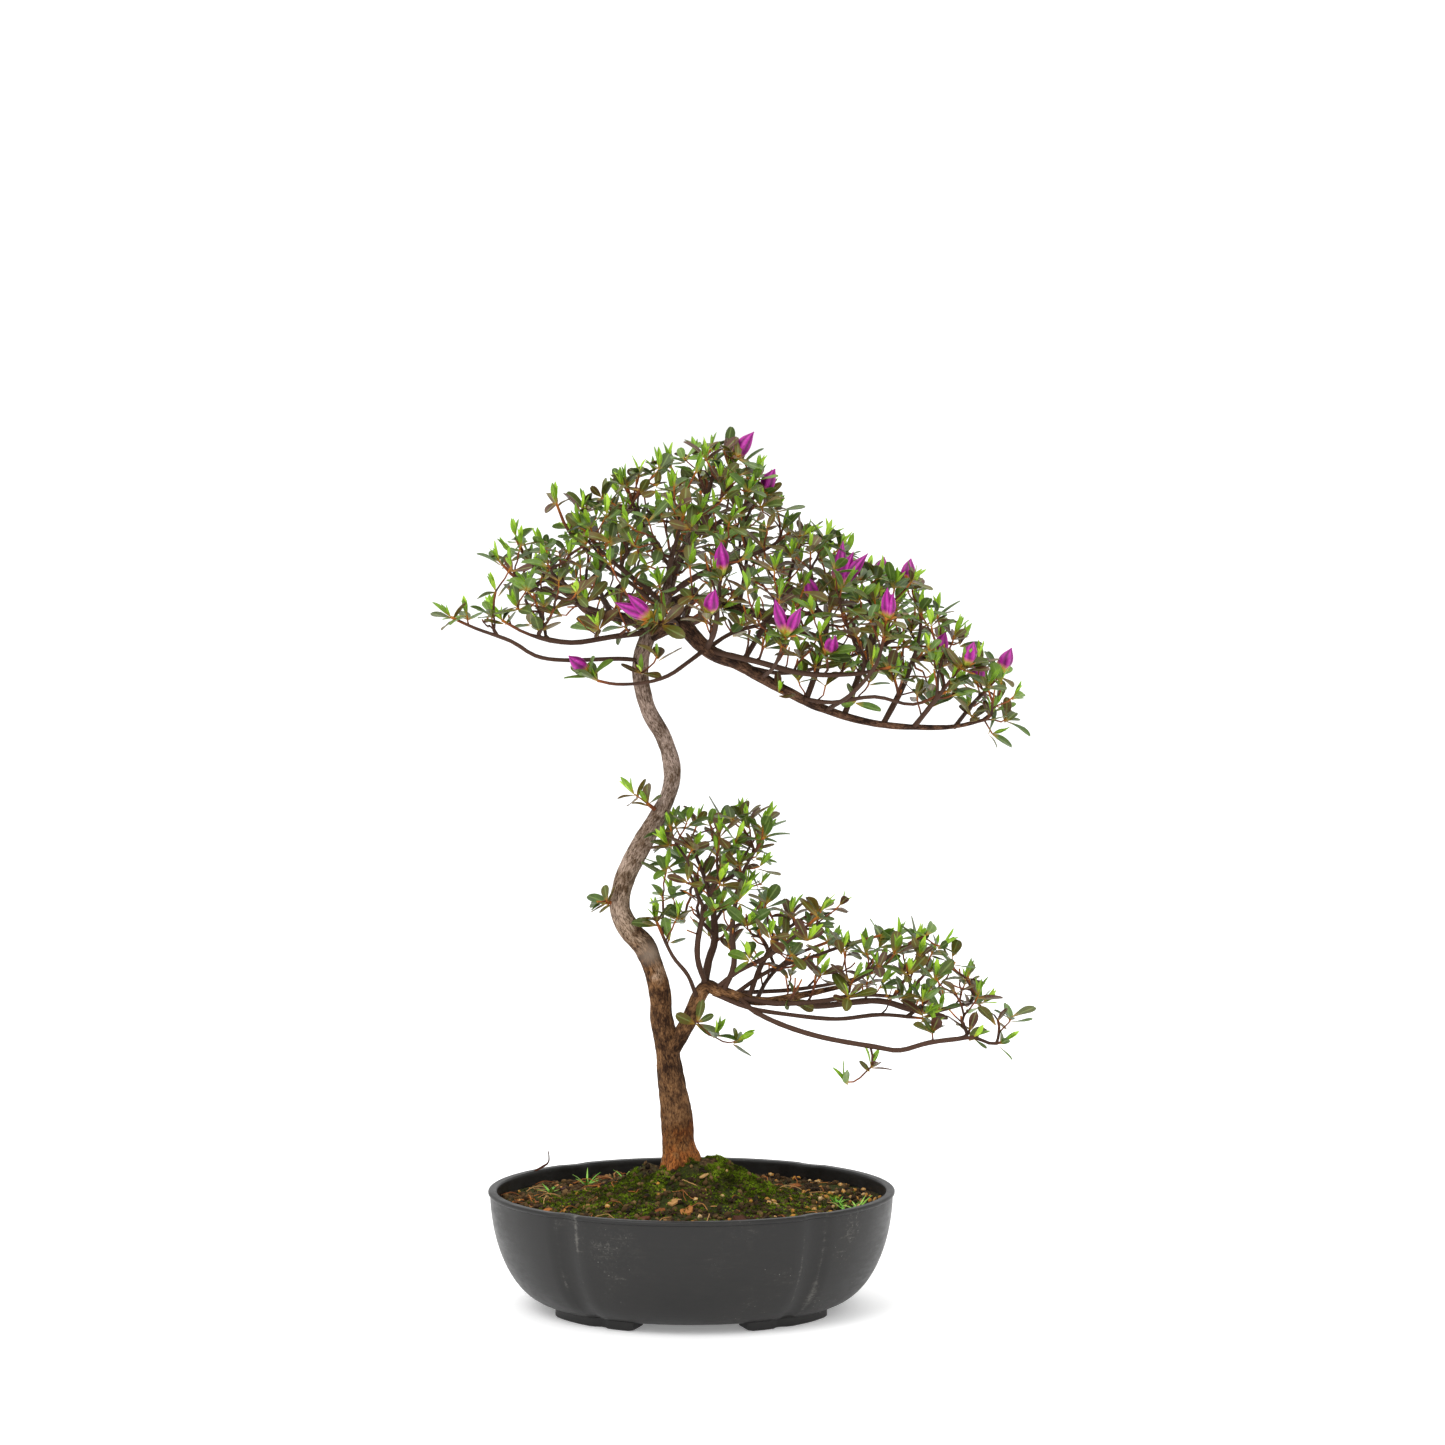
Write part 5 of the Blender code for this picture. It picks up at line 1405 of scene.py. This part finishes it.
def grow_twigs(settings):
    """Grow twigs from the leafy branches to every whorl, the nearest whorl first."""
    chance = random.Random(SEEDS["twigs"])
    growth = {"place": [], "parent": [], "way": [], "branch": [], "tips": [], "stem": [], "young": []}
    chains = []

    def lay(route, parent, branch):
        chain = [] if parent is None else [parent]
        places = [place for place, _ in route]
        ways = tangents(places) if len(places) > 1 else [UP]
        for (place, stem), way, left in zip(route, ways, reversed(range(len(route)))):
            young = YOUNG_DELAY * max(0, YOUNG_STEPS - left) if len(route) > 1 else 0.0
            for key, value in zip(growth, (place, parent, way, branch, 0, stem, young)):
                growth[key].append(value)
            parent = len(growth["place"]) - 1
            chain.append(parent)
        chains.append((branch, chain))
        return parent

    whorls = []
    for table, (foot, end), step in ((BRANCHES.items(), STEM_RADII, BRANCH_STEP),
                                     (SIDE_BRANCHES, SIDE_RADII, SIDE_STEP)):
        for branch, rows in table:
            knots = [(point(row), foot + (end - foot) * index / len(rows))
                     for index, row in enumerate(rows)]
            whorls.append((lay(smooth_route(knots, step), None, branch), None))
    for tip, _ in whorls:
        count_tip(growth, tip)
    for table in LIMB_ROUTES.values():
        places = [place for place, _ in smooth_route([(point(row), 0.0) for row in table[2:]], LIMB_STEP)]
        for place, way in zip(places, tangents(places)):
            node = lay([(place, 0.0)], None, nearest_branch(place))
            growth["way"][node] = way
            chains.pop()
    canopies = ((UPPER_OUTLINE, settings.upper_whorls, settings.upper_depth / MM),
                (LOWER_OUTLINE, settings.lower_whorls, settings.lower_depth / MM))
    targets = [(place, None) for outline, count, depth in canopies
               for place in canopy_spots(outline, count, depth, settings.whorl_spacing / MM, chance)]
    targets += [(measured(*row), None) for row in STRAY_WHORLS]
    targets += [(point(row), name) for name, (_, row, _, _) in ALL_BUDS.items()]
    for (outline, _, depth), share in zip(canopies, BARE_SHARES):
        count = round(settings.bare_twigs * share)
        targets += [(place, BARE) for place in bare_spots(outline, count, depth, chance)]
    stems = np.array(growth["place"])
    targets.sort(key=lambda target: np.linalg.norm(stems - np.array(target[0]), axis=1).min())
    for place, bud in targets:
        start = nearest_node(growth, place)
        places = twig_places(growth["place"][start], growth["way"][start], place, chance)
        tip = lay([(spot, 0.0) for spot in places], start, growth["branch"][start])
        count_tip(growth, tip)
        if bud is not BARE:
            whorls.append((tip, bud))
    return growth, chains, whorls


def count_tip(growth, node):
    """Count one more tip on every node between this one and its branch's foot."""
    while node is not None:
        growth["tips"][node] += 1
        node = growth["parent"][node]


def nearest_branch(place):
    """The leafy branch that starts nearest to a place."""
    return min(BRANCHES, key=lambda branch: (point(BRANCHES[branch][0]) - place).length)


def nearest_node(growth, place):
    """The node from which a twig to the place would be short, rise, and turn back least."""
    away = np.array(place) - np.array(growth["place"])
    distance = np.linalg.norm(away, axis=1) + 1e-6
    facing = (away * np.array(growth["way"])).sum(axis=1) / distance
    rise = away[:, 2] / distance
    weight = LENGTH_WEIGHT - TURN_WEIGHT * facing - CLIMB_WEIGHT * rise
    return int(np.argmin(distance * weight + np.array(growth["young"])))


def twig_places(start, way, end, chance):
    """Points of a curved twig that leaves along its parent and turns up towards its end."""
    span = end - start
    length = span.length
    leaving = (0.8 * way + span.normalized()).normalized() * length
    arriving = (span.normalized() + 0.9 * UP).normalized() * length
    steps = max(2, round(length / TWIG_STEP))
    places = []
    for step in range(1, steps + 1):
        share = step / steps
        here = (2.0 * share ** 3 - 3.0 * share ** 2 + 1.0) * start
        here += (share ** 3 - 2.0 * share ** 2 + share) * leaving
        here += (3.0 * share ** 2 - 2.0 * share ** 3) * end + (share ** 3 - share ** 2) * arriving
        if step < steps:
            here += 0.7 * MM * shaken(chance, 1.0)
        places.append(here)
    return places


def node_radius(settings, growth, node):
    """A twig's radius by how many tips it carries; a branch's own stem is never thin."""
    return max(settings.tip_radius * max(1, growth["tips"][node]) ** 0.40, growth["stem"][node])


def make_twigs(settings, growth, chains):
    """One piece of twigs for each leafy branch."""
    skin = twig_bark()
    for branch in BRANCHES:
        bm = bmesh.new()
        tone = bm.verts.layers.float.new("tone")
        for name, chain in chains:
            if name != branch:
                continue
            radii = [node_radius(settings, growth, node) for node in chain]
            if not growth["stem"][chain[-1]]:
                radii[0] = 1.15 * radii[1]
            route = [(growth["place"][node], radius) for node, radius in zip(chain, radii)]
            sides = 6 if radii[0] < 1.0 * MM else 9
            rings = []
            marks = []
            last = len(chain) - 1
            for index, (centre, ways) in enumerate(tube_rings(route, sides)):
                rings.append([centre + radii[index] * (1.0 + 0.12 * noise.noise(centre / (3.0 * MM))) * side
                              for side in ways])
                age = min(1.0, 0.05 + 0.13 * (last - index) + 0.10 * (growth["tips"][chain[index]] - 1))
                marks.append([age] * sides)
            loft(bm, rings, marks, tone)
        finished(f"{branch}_twigs", bm, skin, (f"{branch}_spray",))


def leaf_whorl(bm, shapes, place, axis, chance, length, bud):
    """Grown leaves spread round a shoot's end, and young ones standing in their middle."""
    across = axis.orthogonal().normalized()
    other = axis.cross(across)
    start = chance.uniform(0.0, 6.28)
    character = chance.random()
    grown = chance.choice(GROWN_COUNTS) + (2 if bud else 0)
    young = 0 if character < NO_YOUNG else chance.choice(YOUNG_COUNTS)
    if bud:
        young = 2
    hue = chance.betavariate(1.4, 1.35)
    for index in range(grown + young):
        turn = start + GOLDEN_ANGLE * index + chance.uniform(-0.25, 0.25)
        away = between(across, other, turn)
        if index < grown:
            pitch = math.radians(chance.triangular(*GROWN_PITCH))
            size = length * chance.uniform(0.58, 1.05)
            width = size * chance.uniform(0.38, 0.48)
            tone = clamped(OLDEST_TONE * hue + chance.uniform(-0.20, 0.20), OLDEST_TONE)
            shape = chance.choice(shapes["grown"])
            foot = place - chance.uniform(0.0, 4.0) * MM * axis
        else:
            pitch = math.radians(chance.uniform(*YOUNG_PITCH))
            size = length * chance.uniform(0.45, 0.80)
            width = size * chance.uniform(0.24, 0.32)
            tone = chance.uniform(0.68, 1.0)
            shape = chance.choice(shapes["young"])
            foot = place + chance.uniform(-0.6, 0.6) * MM * axis
        way = between(axis, away, pitch).normalized()
        up = (axis + chance.uniform(-0.35, 0.35) * axis.cross(away)).normalized()
        if index >= grown:
            up = -away
        stamp(bm, shape, stood(foot + 0.5 * MM * way, way, up, width, size, size), tone)


def make_leaves(settings, growth, whorls):
    """One piece of leaves for each leafy branch, a whorl at every twig's end."""
    chance = random.Random(SEEDS["leaves"])
    skin = azalea_leaf()
    shapes = leaf_templates()
    pieces = {branch: bmesh.new() for branch in BRANCHES}
    for node, bud in whorls:
        place = growth["place"][node]
        flat = Vector((place.x - MIDDLE.x, place.y - MIDDLE.y, 0.0))
        out = 0.30 * flat.normalized() if flat.length > 0.0 else Vector()
        axis = (0.6 * growth["way"][node] + 0.9 * UP + out + shaken(chance, 0.3)).normalized()
        if bud:
            axis = Vector(ALL_BUDS[bud][2]).normalized()
        leaf_whorl(pieces[growth["branch"][node]], shapes, place, axis, chance, settings.leaf_length, bud)
    for branch, bm in pieces.items():
        name = f"{branch}_leaves"
        settled(name, shaded(name, bm, LEAF_SHARP), skin, (f"{branch}_spray",))


def rolled_bud(bm, base, out, length, radius, phase, layers):
    """A bud of petals rolled round each other: ridged, twisted and drawn to a point."""
    route = [(base + length * step / BUD_LEVELS * out, radius) for step in range(BUD_LEVELS + 1)]
    rings = []
    folds = []
    for level, (centre, ways) in enumerate(tube_rings(route, BUD_SIDES)):
        run = level / BUD_LEVELS
        swell = 0.30 + 0.72 * math.sin(math.pi * min(1.0, 0.12 + 0.88 * run) ** 1.15) ** 0.9
        swell *= 1.0 - 0.85 * run ** 5
        if level == BUD_LEVELS:
            swell = 0.06
        spots = []
        marks = []
        for angle, way in zip(around(BUD_SIDES), ways):
            turn = 5.0 * (angle + 0.9 * run + phase)
            fold = 0.5 + 0.5 * math.cos(turn)
            edge = 0.26 * fold ** 0.5 - 0.20
            spots.append(centre + radius * swell * (1.0 + edge * min(1.0, 4.0 * run)) * way)
            marks.append(fold)
        rings.append(spots)
        folds.append(marks)
    first = len(bm.verts)
    loft(bm, rings, folds, layers[0])
    bm.verts.ensure_lookup_table()
    for corner in bm.verts[first:]:
        corner[layers[1]] = clamped((corner.co - base).dot(out) / length)


def bud_scale_template():
    """A papery scale, short and cupped, that shows its second material."""
    bm = bmesh.new()
    bmesh.ops.create_grid(bm, x_segments=4, y_segments=4, size=0.5)
    for corner in bm.verts:
        run = corner.co.y + 0.5
        side = 2.0 * corner.co.x
        half = leaf_width(0.05 + 0.92 * run, 0.9, 0.8)
        cup = 0.5 * (side * half) ** 2 + 0.12 * noise.noise(5.0 * corner.co)
        corner.co = Vector((side * half, run, cup))
    bmesh.ops.solidify(bm, geom=bm.faces[:], thickness=0.03)
    for face in bm.faces:
        face.material_index = 1
    return template("scale", bm)


def make_bud(settings, name, skins, shape, chance):
    """One flower bud with its lobes and the scales at its foot."""
    _, place, direction, length = ALL_BUDS[name]
    length *= BUD_GROWTH
    out = Vector(direction).normalized()
    base = point(place)
    spread, lobes = BUD_LOBES.get(name, (0.0, 1))
    bm = bmesh.new()
    layers = (bm.verts.layers.float.new("fold"), bm.verts.layers.float.new("along"))
    side = out.cross(FRONT).normalized()
    for lobe in range(lobes):
        lean = math.radians(spread) * ((lobe + 0.5) / lobes - 0.5) * 1.6
        way = (out + math.tan(lean) * side + 0.05 * lobe * FRONT).normalized()
        size = length * MM * (1.0 - 0.14 * (lobe % 2))
        thick = settings.radius * (1.0 if lobes == 1 else 0.78) * (0.8 + 0.2 * length / 20.0)
        rolled_bud(bm, base + 1.0 * MM * way, way, size, thick, chance.random(), layers)
    across = out.orthogonal().normalized()
    for index in range(BUD_SCALES):
        away = between(across, out.cross(across), GOLDEN_ANGLE * index + 0.5)
        pitch = math.radians(chance.uniform(18.0, 80.0) if lobes > 1 else chance.uniform(12.0, 40.0))
        way = between(out, away, pitch).normalized()
        size = chance.uniform(5.0, 8.0) * MM
        matrix = stood(base + 1.2 * MM * away, way, -away, 0.62 * size, size, size)
        stamp(bm, shape, matrix, chance.random())
    replaced = (f"flower_bud_{name}",) if name in BUDS else ()
    finished(f"flower_{name}", bm, skins, replaced, BUD_SHARP)


class BONSAI_OT_pot(bpy.types.Operator):
    """Build the pot and finish what drains it"""
    bl_idname = "bonsai.pot"
    bl_label = "Pot"

    def execute(self, context):
        make_pot(context.scene.bonsai_pot)
        screen = woven_plastic()
        for name, skin in (("drain_screen_left", screen), ("drain_screen_right", screen),
                           ("drainage_grit", pumice())):
            skins = frame["nodes"][name].data.materials
            skins.clear()
            skins.append(skin)
        return {"FINISHED"}


class BONSAI_OT_ground(bpy.types.Operator):
    """Fill the pot with soil and strew crumbs, flakes and dry roots on it"""
    bl_idname = "bonsai.ground"
    bl_label = "Soil"

    def execute(self, context):
        make_soil()
        make_crumbs(context.scene.bonsai_ground)
        make_litter(context.scene.bonsai_ground)
        return {"FINISHED"}


class BONSAI_OT_greens(bpy.types.Operator):
    """Grow moss and grass on the soil"""
    bl_idname = "bonsai.greens"
    bl_label = "Moss and grass"

    def execute(self, context):
        for name, (node, seed, places) in MOSS.items():
            make_moss(context.scene.bonsai_ground, name, node, places, seed)
        for name, (node, seed, clumps) in GRASS.items():
            make_grass(name, node, seed, clumps)
        return {"FINISHED"}


class BONSAI_OT_wood(bpy.types.Operator):
    """Grow the trunk and the limbs"""
    bl_idname = "bonsai.wood"
    bl_label = "Trunk and limbs"

    def execute(self, context):
        settings = context.scene.bonsai_wood
        old = azalea_bark("old_azalea_bark", True)
        limb = azalea_bark("limb_azalea_bark", False)
        wood_skin("trunk_bark", TRUNK_ROUTE, settings.trunk_sides, settings, old, "trunk", roots=True)
        for name, table in LIMB_ROUTES.items():
            skin = old if name == "lower_limb" else limb
            wood_skin(f"{name}_bark", table, settings.limb_sides, settings, skin, name)
        for name, table in ROOT_ROUTES.items():
            wood_skin(name, table, settings.limb_sides, settings, old, None)
        return {"FINISHED"}


class BONSAI_OT_foliage(bpy.types.Operator):
    """Grow twigs and leaves on every leafy branch"""
    bl_idname = "bonsai.foliage"
    bl_label = "Twigs and leaves"

    def execute(self, context):
        settings = context.scene.bonsai_foliage
        growth, chains, whorls = grow_twigs(settings)
        make_twigs(settings, growth, chains)
        make_leaves(settings, growth, whorls)
        return {"FINISHED"}


class BONSAI_OT_flowers(bpy.types.Operator):
    """Set the flower buds on their shoots"""
    bl_idname = "bonsai.flowers"
    bl_label = "Flower buds"

    def execute(self, context):
        settings = context.scene.bonsai_flower
        skins = (rolled_petal(settings.colour), bud_scales())
        shape = bud_scale_template()
        chance = random.Random(SEEDS["buds"])
        for name in ALL_BUDS:
            make_bud(settings, name, skins, shape, chance)
        return {"FINISHED"}


class BONSAI_OT_stage(bpy.types.Operator):
    """Lay the floor and set the lights and the camera"""
    bl_idname = "bonsai.stage"
    bl_label = "Stage"

    def execute(self, context):
        settings = context.scene.bonsai_stage
        bm = bmesh.new()
        bmesh.ops.create_grid(bm, x_segments=1, y_segments=1, size=FLOOR_REACH)
        floor = shown("studio_floor", meshed("studio_floor", bm))
        floor.data.materials.append(white_board())
        world = bpy.data.worlds.new("white_studio")
        world.use_nodes = True
        sky = world.node_tree.nodes["Background"]
        feed(world.node_tree, sky.inputs["Color"], colour("#ffffff"))
        feed(world.node_tree, sky.inputs["Strength"], SKY_STRENGTH)
        context.scene.world = world
        for name, (spot, size, power) in LIGHTS.items():
            add_light(name, Vector(spot), size, power)
        add_camera(context, settings)
        context.scene.view_settings.view_transform = "Standard"
        return {"FINISHED"}


def add_light(name, spot, size, power):
    """A square soft light aimed at the middle of the plant."""
    light = bpy.data.lights.new(name, "AREA")
    light.size = size
    light.energy = power
    lamp = shown(name, light)
    lamp.location = spot
    lamp.rotation_euler = (0.5 * (CAD_BOX[0] + CAD_BOX[1]) - spot).to_track_quat("-Z", "Y").to_euler()


def add_camera(context, settings):
    """The camera, level from side to side, a little above the middle of the plant."""
    lens = bpy.data.cameras.new("camera")
    lens.lens = settings.focal_length
    lens.sensor_width = SENSOR_WIDTH
    lens.clip_end = 2.0 * FLOOR_REACH
    camera = shown("camera", lens)
    camera.location = (MIDDLE.x + CAMERA_ASIDE, MIDDLE.y - settings.camera_distance, settings.camera_height)
    camera.rotation_euler = (math.radians(90.0) - settings.camera_tilt, 0.0, 0.0)
    context.scene.camera = camera


class BONSAI_PT_panel(bpy.types.Panel):
    """Lists the steps that build the bonsai"""
    bl_idname = "BONSAI_PT_panel"
    bl_label = "Bonsai"
    bl_space_type = "VIEW_3D"
    bl_region_type = "UI"
    bl_category = "Bonsai"

    def draw(self, context):
        for step in STEPS:
            self.layout.operator(step.bl_idname)
        for group in GROUPS:
            settings = getattr(context.scene, group)
            box = self.layout.box()
            for name in settings.bl_rna.properties.keys():
                if name not in ("rna_type", "name"):
                    box.prop(settings, name)


STEPS = (BONSAI_OT_pot, BONSAI_OT_ground, BONSAI_OT_greens, BONSAI_OT_wood, BONSAI_OT_foliage,
         BONSAI_OT_flowers, BONSAI_OT_stage)
GROUPS = {"bonsai_pot": Pot, "bonsai_ground": Ground, "bonsai_wood": Wood, "bonsai_foliage": Foliage,
          "bonsai_flower": Flower, "bonsai_stage": Stage}


def register():
    """Register the settings, the steps and the panel."""
    for group in GROUPS.values():
        bpy.utils.register_class(group)
    for name, group in GROUPS.items():
        setattr(bpy.types.Scene, name, bpy.props.PointerProperty(type=group))
    for step in STEPS:
        bpy.utils.register_class(step)
    bpy.utils.register_class(BONSAI_PT_panel)


def unregister():
    """Take back what register added."""
    bpy.utils.unregister_class(BONSAI_PT_panel)
    for step in reversed(STEPS):
        bpy.utils.unregister_class(step)
    for name in GROUPS:
        delattr(bpy.types.Scene, name)
    for group in reversed(GROUPS.values()):
        bpy.utils.unregister_class(group)


def main():
    """Build the whole plant on its stage."""
    register()
    bpy.ops.bonsai.pot()
    bpy.ops.bonsai.ground()
    bpy.ops.bonsai.greens()
    bpy.ops.bonsai.wood()
    bpy.ops.bonsai.foliage()
    bpy.ops.bonsai.flowers()
    bpy.ops.bonsai.stage()
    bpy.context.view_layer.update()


if __name__ == "__main__":
    main()
